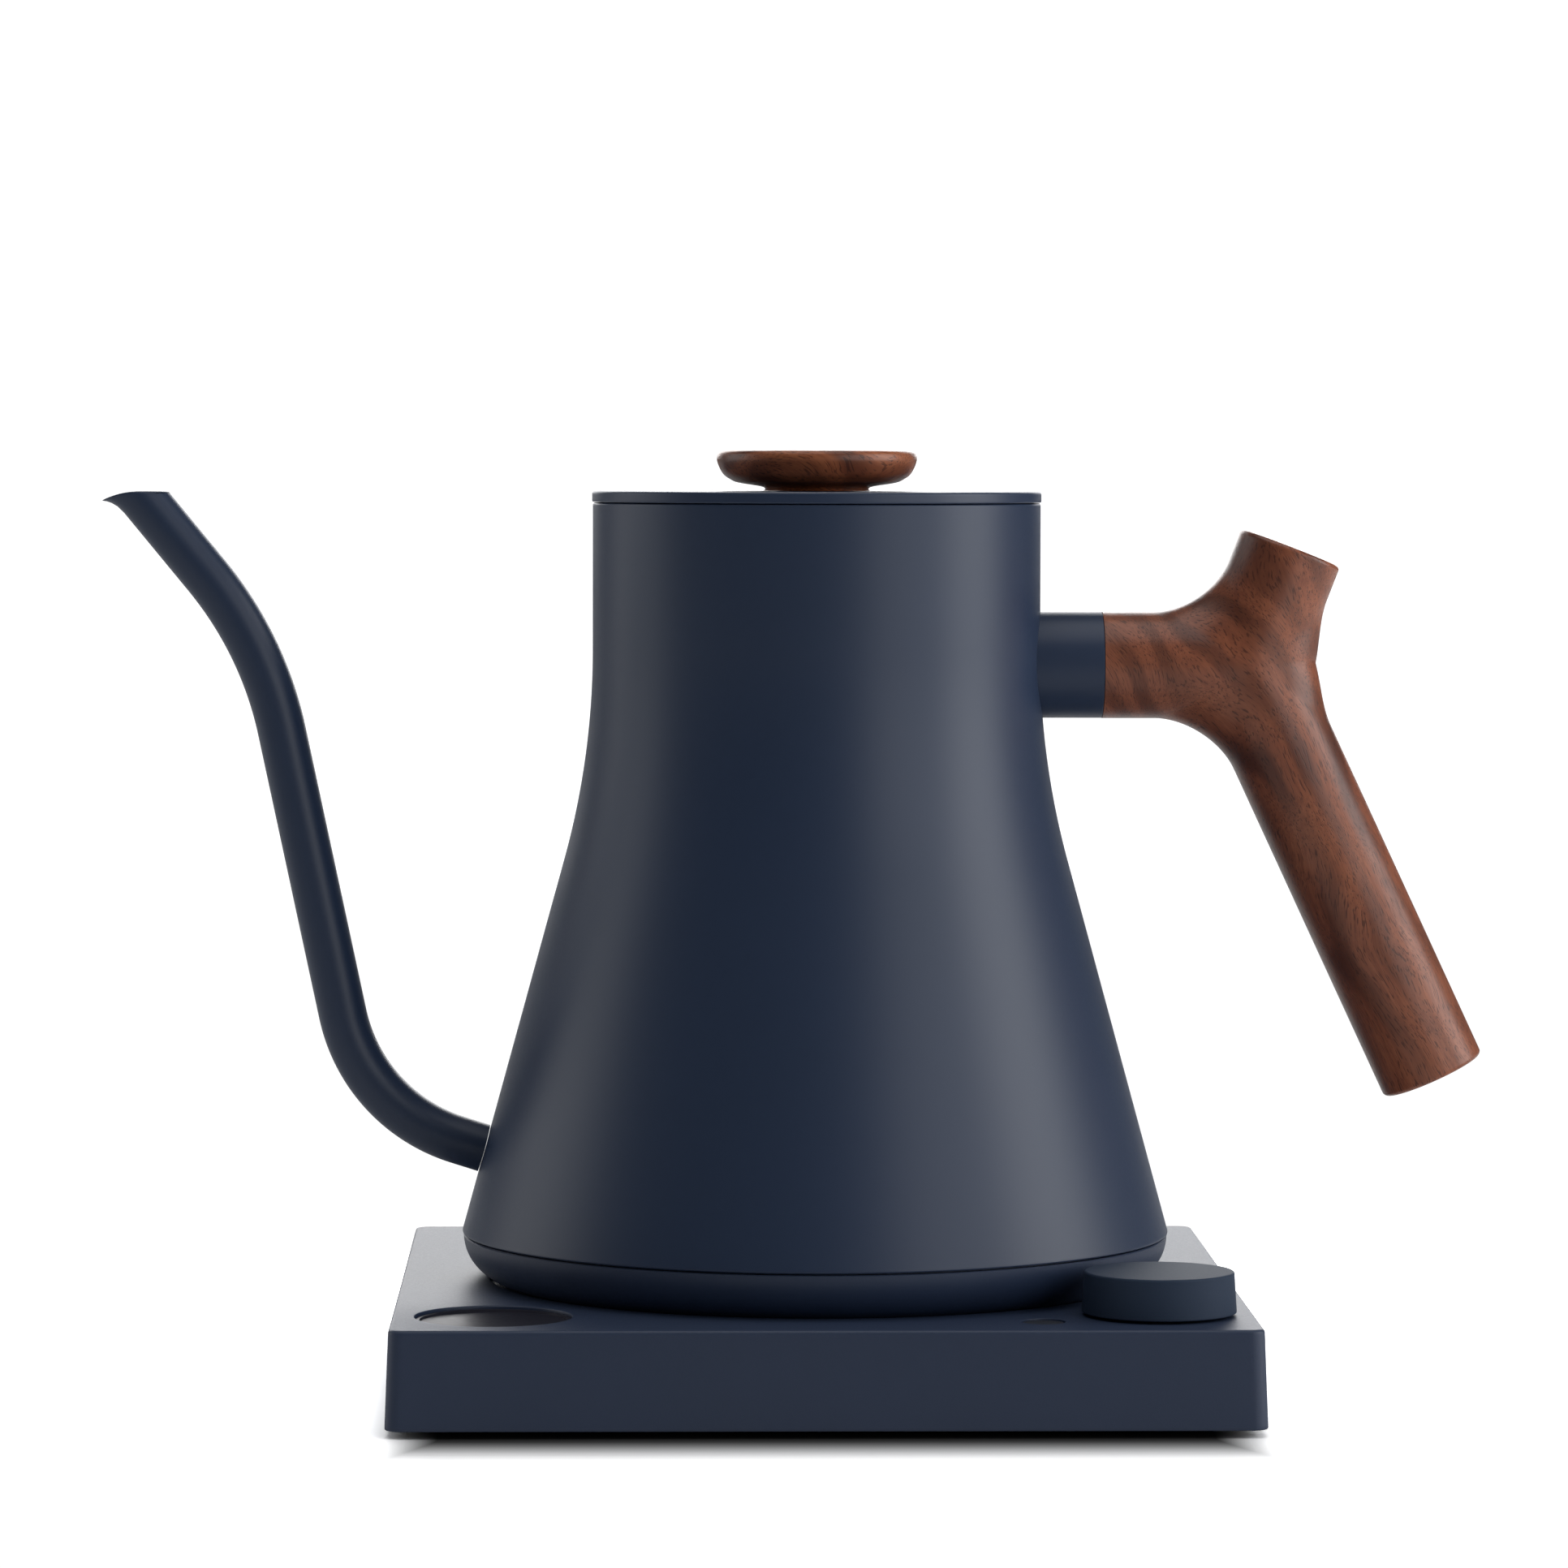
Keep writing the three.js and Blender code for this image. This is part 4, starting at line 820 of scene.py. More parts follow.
@dataclass
class Repeater:
    """Stands copies of small turned parts on points, and runs rods along lines."""

    copies: NodeTree = field(default_factory=copies_tree)
    rods: NodeTree = field(default_factory=rod_tree)

    def stand(self, name: str, part: Skin, places: Sequence[Sequence[float]], turn: float,
              finish: Finish, body: str, nodes: Sequence[str]) -> None:
        """Shows copies of a part.

        Args:
            name: Name of the piece.
            part: The part about its own origin.
            places: Where each copy stands.
            turn: Largest turn about the upright, in degrees.
            finish: What it is made of.
            body: The body it belongs to.
            nodes: The CAD nodes it stands for.
        """
        mesh = part.mesh(name)
        mesh.transform(Matrix.Translation((-AXIS_X, 0, 0)))
        pattern = placed(f"{name}_part", mesh)
        values = {
            "Part": pattern,
            "Largest turn": math.radians(turn),
            "Seed": 7,
            "Material": finish.material(),
        }
        made = grown(name, line_mesh(places, joined=False), self.copies, values)
        bpy.data.objects.remove(pattern)
        piece(name, made, finish, body, nodes)

    def run(self, name: str, line: Sequence[Sequence[float]], r: float, sides: int,
            finish: Finish, body: str) -> None:
        """Shows a round rod along a line in place of the CAD node of the same name."""
        values = {
            "Radius": r * MM,
            "Step": 1.5 * MM,
            "Sides": sides,
            "Material": finish.material(),
        }
        made = grown(name, line_mesh(line), self.rods, values)
        piece(f"{name}_fine", shaded(made, 50), finish, body, [name])


# ------------------------------------------------------------------ heating base
CORNERS = ((1, 1), (-1, 1), (-1, -1), (1, -1))


@dataclass
class HeatingBase:
    """The square base: case, bottom plate, feet, case screws, cord gland and rear switch."""

    width: float = 175.4
    draft: float = 2.1
    skirt_z: float = 1.5
    top_z: float = 21.5
    corner_r: float = 2.9
    edge_r: float = 0.8
    rim_r: float = 0.4
    wall: float = 2.2
    deck: float = 2.2
    well_r: float = 68.6
    well_depth: float = 1.8
    well_skirt: float = 1.8
    plug_hole_r: float = 15.0
    display: tuple[float, float, float] = (-66.5, -64.5, 15.85)
    light: tuple[float, float, float] = (43.6, -73.6, 4.4)
    dial_shaft: tuple[float, float, float] = (67.6, -63.5, 3.3)
    plate_z: float = 1.0
    plate_inset: float = 10.0
    plate_top_z: float = 4.2
    foot_r: float = 8.0
    foot_at: float = 66.0
    foot_pocket_z: float = 1.8
    screw_x: float = 71.0
    screw_y: float = 38.0
    screw_head_r: float = 2.9
    screw_seat: float = 2.2
    play: float = 0.3
    bore_r: float = 1.75
    boss_r: float = 3.3
    gland_z: float = 12.0
    gland_hole_r: float = 5.0
    gland_bore_r: float = 3.4
    gland_flange_r: float = 6.2
    switch: tuple[float, float, float] = (45.0, 12.0, 9.0)
    switch_height: float = 3.6

    def build(self, repeater: Repeater) -> None:
        """Builds and dresses the case and what is fixed to it."""
        self.build_housing()
        self.build_bottom_plate()
        self.build_feet(repeater)
        self.build_screws(repeater)
        self.build_gland()
        self.build_slider()

    def square(self, skin: Skin, half: float, r: float, z: float) -> Loop:
        """Adds a rounded square loop; a point past each corner keeps the sides flat."""
        steps, hold = 9, 0.6
        points = []
        for i, (sx, sy) in enumerate(CORNERS):
            for k in range(-1, steps + 2):
                angle = (i + min(max(k, 0), steps) / steps) * math.pi / 2
                x = sx * (half - r) + r * math.cos(angle)
                y = sy * (half - r) + r * math.sin(angle)
                slide = -hold if k < 0 else hold if k > steps else 0.0
                points.append((x - slide * math.sin(angle), y + slide * math.cos(angle), z))
        return skin.loop(points)

    def half_at(self, z: float) -> float:
        """Half width of the leaning sides at a height."""
        return self.width / 2 - (z - self.skirt_z) * math.tan(math.radians(self.draft))

    def outer_loops(self, skin: Skin) -> list[Loop]:
        """Adds the outside of the case from the lower rim to the flat of the deck."""
        loops = []
        low = self.skirt_z
        for k in range(4):
            angle = math.pi / 2 * k / 3
            inset = self.rim_r * (1 - math.sin(angle))
            z = low + self.rim_r * (1 - math.cos(angle))
            loops.append(self.square(skin, self.half_at(z) - inset, self.corner_r, z))
        start = self.top_z - self.edge_r
        for z in (low + 2 * self.rim_r, start - self.rim_r):
            loops.append(self.square(skin, self.half_at(z), self.corner_r, z))
        for k in range(7):
            angle = math.pi / 2 * k / 6
            z = start + self.edge_r * math.sin(angle)
            inset = self.edge_r * (1 - math.cos(angle))
            half, r = self.half_at(start) - inset, self.corner_r - inset / 2
            loops.append(self.square(skin, half, r, z))
        half = self.half_at(start) - self.edge_r - self.rim_r
        loops.append(self.square(skin, half, self.corner_r - 0.5, self.top_z))
        return loops

    def deck_hole(self, skin: Skin, spot: Point, edge: float) -> tuple[Loop, Loop]:
        """Adds a round hole through the deck and returns its upper and lower loops."""
        x, y, r = spot
        under = self.top_z - self.deck
        outline = eased([(r + 0.8, self.top_z, 0), (r, self.top_z, edge), (r, under, 0)])
        loops = skin.turn(outline, about_z(x, y), 72 if r > 10 else 32)
        return loops[0], loops[-1]

    def build_housing(self) -> None:
        """Builds the moulded case with its well, window, light and shaft openings."""
        skin = Skin()
        top, under = self.top_z, self.top_z - self.deck
        floor, skirt_r = top - self.well_depth, self.well_r + self.well_skirt
        dish = floor - self.deck
        loops = self.outer_loops(skin)
        skin.chain(loops)
        inner_low = self.square(skin, self.half_at(self.skirt_z) - self.wall, 1.2, self.skirt_z)
        inner_high = self.square(skin, self.half_at(under) - self.wall, 1.2, under)
        skin.bridge(loops[0], inner_low)
        skin.bridge(inner_low, inner_high)
        well = eased(
            [
                (self.well_r + 1.4, top, 0),
                (self.well_r, top, 0.45),
                (self.well_r, floor, 0.5),
                (self.plug_hole_r, floor, 0.3),
                (self.plug_hole_r, dish, 0),
                (skirt_r, dish, 0),
                (skirt_r, under, 0),
            ]
        )
        rings = skin.turn(well, segments=200)
        holes = [self.deck_hole(skin, self.display, 0.35), self.deck_hole(skin, self.light, 0.15)]
        holes.append(self.deck_hole(skin, self.dial_shaft, 0.1))
        skin.flat(loops[-1], rings[0], *(hole[0] for hole in holes))
        skin.flat(inner_high, rings[-1], *(hole[1] for hole in holes))
        low, high = self.plate_top_z + 0.3, under + 0.2
        post = [(self.bore_r, low), (self.boss_r, low), (self.boss_r, high), (self.bore_r, high)]
        for sx, sy in CORNERS:
            skin.turn(post, about_z(sx * self.screw_x, sy * self.screw_y), 24, ring=True)
        case = bored(skin.mesh("base_case"), self.rear_tools())
        piece("base_case", case, MOULDED, "base", ["base_housing"])

    def rear_tools(self) -> Mesh:
        """Makes the solids that open the rear wall for the cord gland and the switch."""
        skin = Skin()
        near, far, r = self.width / 2 - 5, self.width / 2 + 2, self.gland_hole_r
        rod = [(0.0, near), (r, near), (r, far), (0.0, far)]
        skin.turn(rod, about_y(0, self.gland_z), 48)
        loops = [self.slot_loop(skin, y) for y in (near, far)]
        skin.chain(loops)
        for loop in loops:
            skin.flat(loop)
        return skin.mesh("rear_tools")

    def slot_loop(self, skin: Skin, y: float) -> Loop:
        """Adds the outline of the switch's slot, with rounded corners, at a depth y."""
        x, z, slot = self.switch
        r, points = 0.5, []
        half, rise = slot / 2 - r, self.switch_height / 2 - r
        for i, (sx, sz) in enumerate(CORNERS):
            for k in range(5):
                angle = (i + k / 4) * math.pi / 2
                across, up = r * math.cos(angle), r * math.sin(angle)
                points.append((x + sx * half + across, y, z + sz * rise + up))
        return skin.loop(points)

    def build_bottom_plate(self) -> None:
        """Builds the bottom plate with its foot pockets and screw recesses."""
        skin = Skin()
        half = self.width / 2
        pad, flange, step = half - self.plate_inset, half - self.wall - 0.5, self.plate_z + 1.2
        edge = [
            (pad - 1.0, self.plate_z, 2.2),
            (pad - 0.3, self.plate_z, 2.6),
            (pad, self.plate_z + 0.3, 2.9),
            (pad, step, 2.9),
            (flange, step, 1.0),
            (flange, self.plate_top_z, 1.0),
        ]
        loops = [self.square(skin, size, r, z) for size, z, r in edge]
        skin.chain(loops)
        low, high = [loops[0]], [loops[-1]]
        pocket_r, head_r = self.foot_r + self.play, self.screw_head_r + self.play
        base, roof, top = self.plate_z, self.foot_pocket_z, self.plate_top_z
        seat, bore_r = base + self.screw_seat, self.bore_r
        pocket = [(pocket_r, base), (pocket_r, roof), (0.0, roof)]
        bore = [(head_r, base), (head_r, seat), (bore_r, seat), (bore_r, top)]
        for sx, sy in CORNERS:
            low.append(skin.turn(pocket, about_z(sx * self.foot_at, sy * self.foot_at), 48)[0])
            rings = skin.turn(bore, about_z(sx * self.screw_x, sy * self.screw_y), 32)
            low.append(rings[0])
            high.append(rings[-1])
        skin.flat(*low)
        skin.flat(*high)
        piece("bottom_plate", skin.mesh("bottom_plate"), NYLON, "base", ["base_bottom_plate"])

    def build_feet(self, repeater: Repeater) -> None:
        """Stands the four rubber feet, each with a shallow ring groove."""
        skin = Skin()
        r, top = self.foot_r, self.foot_pocket_z - 0.05
        outline = eased(
            [
                (0, 0, 0), (4.6, 0, 0.1), (4.8, 0.35, 0.1), (5.6, 0.35, 0.1), (5.8, 0, 0.1),
                (r, 0, 0.5), (r, top, 0.1), (0, top, 0),
            ],
            steps=4,
        )
        skin.turn(outline, segments=48)
        places = [(sx * self.foot_at, sy * self.foot_at, 0) for sx, sy in CORNERS]
        nodes = [f"base_foot_{i + 1}" for i in range(4)]
        repeater.stand("base_feet", skin, places, 0.0, FOOT_RUBBER, "base", nodes)

    def build_screws(self, repeater: Repeater) -> None:
        """Stands the four case screws, heads down, each turned its own way."""
        places = [(sx * self.screw_x, sy * self.screw_y, self.plate_z + 0.3) for sx, sy in CORNERS]
        nodes = [f"base_screw_{i + 1}" for i in range(4)]
        screw = socket_screw(self.screw_head_r, 1.6, 1.45, 10.0)
        repeater.stand("case_screws", screw, places, 360.0, SCREW_STEEL, "base", nodes)

    def build_gland(self) -> None:
        """Builds the rubber sleeve in the rear wall that a mains cord comes through."""
        inside = self.width / 2 - self.wall
        bore, r, flange = self.gland_bore_r, self.gland_hole_r - 0.1, self.gland_flange_r
        outline = eased(
            [
                (bore, inside - 3, 0.3), (flange, inside - 3, 0.3), (flange, inside - 1, 0.1),
                (r, inside - 1, 0.1), (r, inside + 1.5, 0.35), (bore, inside + 1.5, 0.35),
            ],
            steps=4,
            ring=True,
        )
        turned("gland_sleeve", outline, FOOT_RUBBER, "base", "cord_gland",
               about_y(0, self.gland_z), 48, ring=True)

    def build_slider(self) -> None:
        """Builds the rear slide switch's button with three ribs across its face."""
        low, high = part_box("hold_switch_slider")
        x0, x1 = (low.x - AXIS_X) / MM, (high.x - AXIS_X) / MM
        y0, y1, z0, z1 = low.y / MM, high.y / MM, low.z / MM, high.z / MM
        ribs, root, ease = 3, y1 - 0.4, 0.15
        face = [(x0, y0), (x1, y0), (x1, root)]
        pitch = (x1 - x0 - 0.4) / ribs
        for k in range(ribs):
            right = x1 - 0.2 - k * pitch
            left = right - pitch
            face += [(right, root), (right - 0.25, y1), (left + 0.45, y1), (left + 0.2, root)]
        face.append((x0, root))
        skin = Skin()
        loops = []
        for z, inset in ((z0, ease), (z0 + ease, 0.0), (z1 - ease, 0.0), (z1, ease)):
            loops.append(skin.loop((x, min(y, y1 - inset), z) for x, y in face))
        skin.chain(loops)
        skin.flat(loops[0])
        skin.flat(loops[-1])
        mesh = skin.mesh("switch_button", 25)
        piece("switch_button", mesh, NYLON, "hold_slider", ["hold_switch_slider"])


def socket_screw(head_r: float, head_h: float, shank_r: float, length: float) -> Skin:
    """Makes a screw with its head down, a six-sided drive socket and a thread.

    Args:
        head_r: Radius of the head.
        head_h: Height of the head.
        shank_r: Radius over the thread.
        length: Whole length.

    Returns:
        The screw about its own axis, standing on its head.
    """
    skin = Skin()
    sides, turns = 24, 12
    deep, key = head_h * 0.6, head_r * 0.52

    def hexagon(z: float) -> Loop:
        """Adds a six-sided loop with as many points as the round ones."""
        points = []
        for k in range(sides):
            angle = 2 * math.pi * k / sides
            wedge = (angle + math.pi / 6) % (math.pi / 3) - math.pi / 6
            r = key / math.cos(wedge)
            points.append((r * math.cos(angle), r * math.sin(angle), z))
        return skin.loop(points)

    bottom = skin.circle(0, deep, about_z(), sides)
    corners = [(key * 1.25, 0, 0), (head_r, 0, 0.35), (head_r, head_h, 0.1), (shank_r, head_h, 0)]
    outline = eased(corners, steps=4)
    step = (length - head_h - 1.0) / turns
    for k in range(turns):
        z = head_h + 0.4 + k * step
        outline += [(shank_r, z), (shank_r * 0.8, z + step / 2)]
    outline += [(shank_r * 0.8, length - 0.2), (shank_r * 0.5, length)]
    rings = [skin.circle(r, z, about_z(), sides) for r, z in outline]
    tip = skin.circle(0, length, about_z(), sides)
    skin.chain([bottom, hexagon(deep), hexagon(0.0), *rings, tip])
    return skin


# ------------------------------------------------------------------ controls
@dataclass
class Controls:
    """Display window, status light and dial on the deck of the base."""

    base: HeatingBase
    display_recess: float = 1.0
    display_flange_r: float = 17.2
    light_stem_r: float = 1.8
    dial_top_r: float = 15.15
    dial_foot_r: float = 15.65
    dial_height: float = 8.3
    dial_lift: float = 0.6
    shaft_r: float = 2.0
    shaft_top_z: float = 27.3

    def build(self) -> None:
        """Builds and dresses the three controls."""
        self.build_window()
        self.build_light()
        self.build_dial()

    def build_window(self) -> None:
        """Builds the display window: a flat pane inside a narrow raised lip."""
        x, y, hole = self.base.display
        r, wide = hole - 0.05, self.display_flange_r
        top = self.base.top_z - self.display_recess + 0.35
        pane = self.base.top_z - self.display_recess - 0.1
        flange = self.base.top_z - self.base.deck - 0.3
        outline = eased(
            [
                (0, flange - 1, 0), (wide, flange - 1, 0.1), (wide, flange, 0.1), (r, flange, 0),
                (r, top, 0.12), (r - 0.9, top, 0.12), (r - 1.15, pane, 0.1), (0, pane, 0),
            ],
            steps=4,
        )
        turned("display_window", outline, SMOKED, "base", "display_lens", about_z(x, y))

    def build_light(self) -> None:
        """Builds the flush light: a slightly domed disc on a stem."""
        x, y, hole = self.base.light
        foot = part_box("status_light_pipe")[0].z / MM
        disc = self.base.top_z - self.base.deck - 0.4
        top, stem = self.base.top_z - 0.12, self.light_stem_r
        r, rise = hole - 0.12, 0.25
        turns = np.linspace(0, math.pi / 2, 8)[:-1]
        dome = [(r * math.cos(a), top - rise + rise * math.sin(a)) for a in turns]
        outline = [(0.0, foot), (stem, foot), (stem, disc), (r, disc), *dome, (0.0, top)]
        turned("status_light", outline, FROSTED, "base", "status_light_pipe", about_z(x, y), 48)

    def build_dial(self) -> None:
        """Builds the dial: a drafted cap with a crisp top edge and a recessed skirt."""
        x, y, _ = self.base.dial_shaft
        z0 = self.base.top_z + self.dial_lift
        z1 = z0 + self.dial_height
        hub_r, hub, roof, inner = 5, z0 + 0.2, z1 - 2.4, self.dial_foot_r - 2.2
        shaft_r, shaft = self.shaft_r, self.shaft_top_z
        outline = eased(
            [
                (0, shaft, 0), (shaft_r, shaft, 0), (shaft_r, hub, 0),
                (hub_r, hub, 0.2), (hub_r, roof, 0), (inner, roof, 0), (inner, z0, 0.1),
                (self.dial_foot_r, z0, 0.25), (self.dial_top_r, z1, 0.45), (0, z1, 0),
            ],
            steps=6,
        )
        turned("dial_cap", outline, SOFT_TOUCH, "dial", "dial_knob", about_z(x, y), 128)


# ------------------------------------------------------------------ coupling
@dataclass
class Coupling:
    """The round plug in the base, its crown that turns with the kettle, and the kettle's socket."""

    dish_z: float = 17.5
    plug_r: float = 14.9
    stem_r: float = 12.0
    stem_z: float = 9.6
    flange_r: float = 22.0
    flange_z: float = 12.5
    crown_r: float = 13.0
    crown_z: float = 20.2
    crown_top_z: float = 31.0
    contact_z: float = 24.5
    pin_r: float = 2.2
    ring_r: float = 6.7
    ring_half: float = 0.5
    play: float = 0.3
    chamfer: float = 1.2
    socket_r: float = 17.5
    socket_bore_r: float = 13.5
    socket_mouth_z: float = 20.6
    socket_cap_z: float = 31.6
    socket_top_z: float = 36.6
    socket_flange_r: float = 19.8
    socket_flange: float = 3.4

    def build(self) -> None:
        """Builds and dresses the three mouldings."""
        top = self.dish_z - 0.3
        stem, flange = self.stem_r, self.flange_r
        plug = eased(
            [
                (0, self.stem_z, 0), (stem, self.stem_z, 0.3), (stem, self.flange_z, 0),
                (flange, self.flange_z, 0.2), (flange, top, 0.2), (self.plug_r, top, 0),
                (self.plug_r, self.crown_z - 0.2, 0.3), (0, self.crown_z - 0.2, 0),
            ]
        )
        turned("plug_foot", plug, NYLON, "base", "coaxial_plug")
        slot, high = self.contact_z - 1, self.crown_top_z
        room = self.ring_half + self.play
        inner, outer, bore = self.ring_r - room, self.ring_r + room, self.pin_r + self.play
        crown = eased(
            [
                (0, self.crown_z, 0), (self.crown_r, self.crown_z, 0.2),
                (self.crown_r, high - self.chamfer, 0.5), (self.crown_r - self.chamfer, high, 0.3),
                (outer, high, 0.15), (outer, slot, 0), (inner, slot, 0), (inner, high, 0.15),
                (bore, high, 0.3), (bore, slot, 0), (0, slot, 0),
            ]
        )
        turned("crown", crown, NYLON, "plug_ring", "plug_crown")
        self.build_socket()

    def build_socket(self) -> None:
        """Builds the socket with its centre pin and contact ring."""
        inner, outer = self.ring_r - self.ring_half, self.ring_r + self.ring_half
        ledge = self.socket_top_z - self.socket_flange
        low, mouth, bore = self.contact_z, self.socket_mouth_z, self.socket_bore_r
        cap, top = self.socket_cap_z, self.socket_top_z
        r, flange = self.socket_r, self.socket_flange_r
        outline = eased(
            [
                (0, low, 0), (self.pin_r, low, 0.4), (self.pin_r, cap, 0), (inner, cap, 0),
                (inner, low, 0.2), (outer, low, 0.2), (outer, cap, 0), (bore, cap, 0.4),
                (bore, mouth, 0.6), (r, mouth, 0.3), (r, ledge, 0), (flange, ledge, 0.2),
                (flange, top, 0.3), (0, top, 0),
            ]
        )
        turned("socket", outline, NYLON, "kettle", "coaxial_socket")


# ------------------------------------------------------------------ kettle
@dataclass
class Vessel:
    """The painted shell with its spout, the vessel floor, and the moulded bottom bowl."""

    neck_r: float = 47.0
    rim_z: float = 184.45
    flare_top_z: float = 153.7
    flare_r: float = 167.0
    cone: float = 15.4
    foot_z: float = 31.6
    seam_z: float = 31.1
    wall: float = 1.0
    lining: float = 0.15
    lining_gap: float = 0.02
    lining_z: float = 35.4
    paint_edge: float = 1.0
    bowl_z: float = 20.0
    bowl_top_z: float = 30.8
    bowl_r: float = 74.1
    bowl_flat_r: float = 60.0
    bowl_power: float = 2.15
    bowl_wall: float = 1.8
    bowl_hole_r: float = 18.0
    floor_z: float = 41.0
    floor_thick: float = 0.8
    floor_flange_z: float = 35.2
    tap_r: float = 1.7
    cover_screw_ring: float = 52.0
    probe_y: float = 28.0
    probe_r: float = 2.5
    spout_r: float = 5.05
    spout_wall: float = 0.8
    mouth: tuple[float, float] = (-142.3, 186.6)
    upper_bend: tuple[float, float, float] = (-116.1, 154.7, 76.0)
    lower_bend: tuple[float, float, float] = (-95.2, 56.5, 35.6)
    root: tuple[float, float] = (-66.4, 47.4)
    lip_reach: float = 1.2
    lip_drop: float = 2.0
    lip_height: float = 4.0

    def build(self, repeater: Repeater) -> None:
        """Builds and dresses the vessel's visible pieces."""
        self.build_shell()
        self.build_lining()
        self.build_spout()
        self.build_floor()
        self.build_probe()
        self.build_bowl()
        screw = socket_screw(3.2, 1.7, 1.4, 13.7)
        places = [(x, y, self.bowl_z + 0.3) for x, y in self.screw_places()]
        nodes = [f"bottom_cover_screw_{i + 1}" for i in range(3)]
        repeater.stand("cover_screws", screw, places, 360.0, SCREW_STEEL, "kettle", nodes)

    def screw_places(self) -> list[tuple[float, float]]:
        """Returns where the three bottom screws stand."""
        r = self.cover_screw_ring
        return [(r * math.cos(a), r * math.sin(a)) for a in map(math.radians, (30, 150, 270))]

    def side(self, offset: float, foot_z: float, rim_z: float) -> Profile:
        """Returns the side from foot to rim, moved out by an offset: cone, flare, straight neck."""
        axis_r = self.neck_r + self.flare_r
        r = self.flare_r - offset
        lean = math.radians(self.cone)
        arc = []
        for k in range(33):
            angle = lean * (1 - k / 32)
            arc.append((axis_r - r * math.cos(angle), self.flare_top_z - r * math.sin(angle)))
        foot_r = arc[0][0] + math.tan(lean) * (arc[0][1] - foot_z)
        return [(foot_r, foot_z), *arc, (self.neck_r + offset, rim_z)]

    def radius_at(self, z: float, offset: float = 0.0) -> float:
        """Returns the outer radius of the side at a height."""
        outline = self.side(offset, self.foot_z, self.rim_z)
        return float(np.interp(z, [p[1] for p in outline], [p[0] for p in outline]))

    def build_shell(self) -> None:
        """Builds the painted shell with a rounded rim and a rolled foot, open to the spout."""
        outer = self.side(0, self.foot_z, self.rim_z)
        inner = self.side(-self.wall, self.foot_z, self.rim_z)
        corners = [(x, z, 0.0) for x, z in outer[:-1]]
        corners[0] = (outer[0][0], self.seam_z, 0.45)
        corners += [(outer[-1][0], self.rim_z, 0.4), (inner[-1][0], self.rim_z, 0.4)]
        corners += [(x, z, 0.0) for x, z in reversed(inner[1:-1])]
        corners.append((inner[0][0] + 0.15, self.seam_z, 0.3))
        skin = Skin()
        skin.turn(eased(corners, ring=True), segments=192, ring=True)
        made = bored(skin.mesh("shell"), self.root_tool())
        piece("shell", made, POWDER, "kettle", ["kettle_body"])

    def build_lining(self) -> None:
        """Builds the bare steel inside of the shell; the paint ends a little under the rim."""
        near = -self.wall - self.lining_gap
        top = self.rim_z - self.paint_edge
        outer, inner = (self.side(at, self.lining_z, top) for at in (near, near - self.lining))
        skin = Skin()
        skin.turn([*outer, *inner[::-1]], segments=192, ring=True)
        made = bored(skin.mesh("lining"), self.root_tool())
        piece("lining", made, STAINLESS, "kettle", ["kettle_body"])

    def root_tool(self) -> Mesh:
        """Makes the rod that opens the shell into the spout."""
        corner, root = Vector(self.lower_bend[:2]), Vector(self.root)
        inward = (root - corner).normalized()
        r, reach, sides = self.spout_r - self.spout_wall, 10.0, 40
        skin = Skin()
        ends = [root + inward * along for along in (-reach, reach)]
        loops = [skin.loop(self.spout_ring(end, inward, r, sides)) for end in ends]
        skin.chain(loops)
        for loop in loops:
            skin.flat(loop)
        return skin.mesh("root_tool")

    def spout_line(self) -> list[tuple[Vector, Vector]]:
        """Returns points and directions along the spout from the root to past the mouth."""
        corners = [Vector(self.root), Vector(self.lower_bend[:2]), Vector(self.upper_bend[:2])]
        end = Vector(self.mouth) + (Vector(self.mouth) - corners[2]).normalized() * 0.01
        corners.append(end)
        made: list[tuple[Vector, Vector]] = []
        start = corners[0]
        for i, r in ((1, self.lower_bend[2]), (2, self.upper_bend[2])):
            back = (start - corners[i]).normalized()
            ahead = (corners[i + 1] - corners[i]).normalized()
            half = back.angle(ahead) / 2
            reach = r / math.tan(half)
            first = corners[i] + back * reach
            middle = corners[i] + (back + ahead).normalized() * (r / math.sin(half))
            made += self.straight(start, first)
            sweep = math.pi - 2 * half
            turn = -1 if back.x * ahead.y - back.y * ahead.x > 0 else 1
            steps = 36
            for k in range(steps):
                angle = turn * sweep * k / steps
                spoke = Matrix.Rotation(angle, 2) @ (first - middle)
                heading = Matrix.Rotation(angle, 2) @ (-back)
                made.append((middle + spoke, heading))
            start = corners[i] + ahead * reach
        made += self.straight(start, corners[3])
        made.append((corners[3], (corners[3] - start).normalized()))
        return made

    def straight(self, start: Vector, end: Vector) -> list[tuple[Vector, Vector]]:
        """Returns points about a millimetre and a half apart on a straight run, without its end."""
        count = max(2, round((end - start).length / 1.5))
        heading = (end - start).normalized()
        return [(start.lerp(end, k / count), heading) for k in range(count)]

    def spout_ring(self, at: Vector, heading: Vector, r: float, sides: int) -> np.ndarray:
        """Returns a ring of points square to the spout."""
        across = Vector((-heading.y, heading.x))
        angles = np.linspace(0, 2 * math.pi, sides, endpoint=False)
        x = at.x + across.x * r * np.cos(angles)
        z = at.y + across.y * r * np.cos(angles)
        return np.stack([x, r * np.sin(angles), z], axis=1)

    def onto_shell(self, ring: np.ndarray, heading: Vector, sink: float) -> np.ndarray:
        """Slides a ring's points along the spout until they lie a given depth under the paint."""
        made = ring.copy()
        search, halvings = 14.0, 40
        for point in made:
            near, far = -search, search
            for _ in range(halvings):
                step = (near + far) / 2
                x, z = point[0] + heading.x * step, point[2] + heading.y * step
                outside = math.hypot(x, point[1]) > self.radius_at(z) - sink
                near, far = (near, step) if outside else (step, far)
            if heading.x < 0:
                point[0] += heading.x * near
                point[2] += heading.y * near
        return made

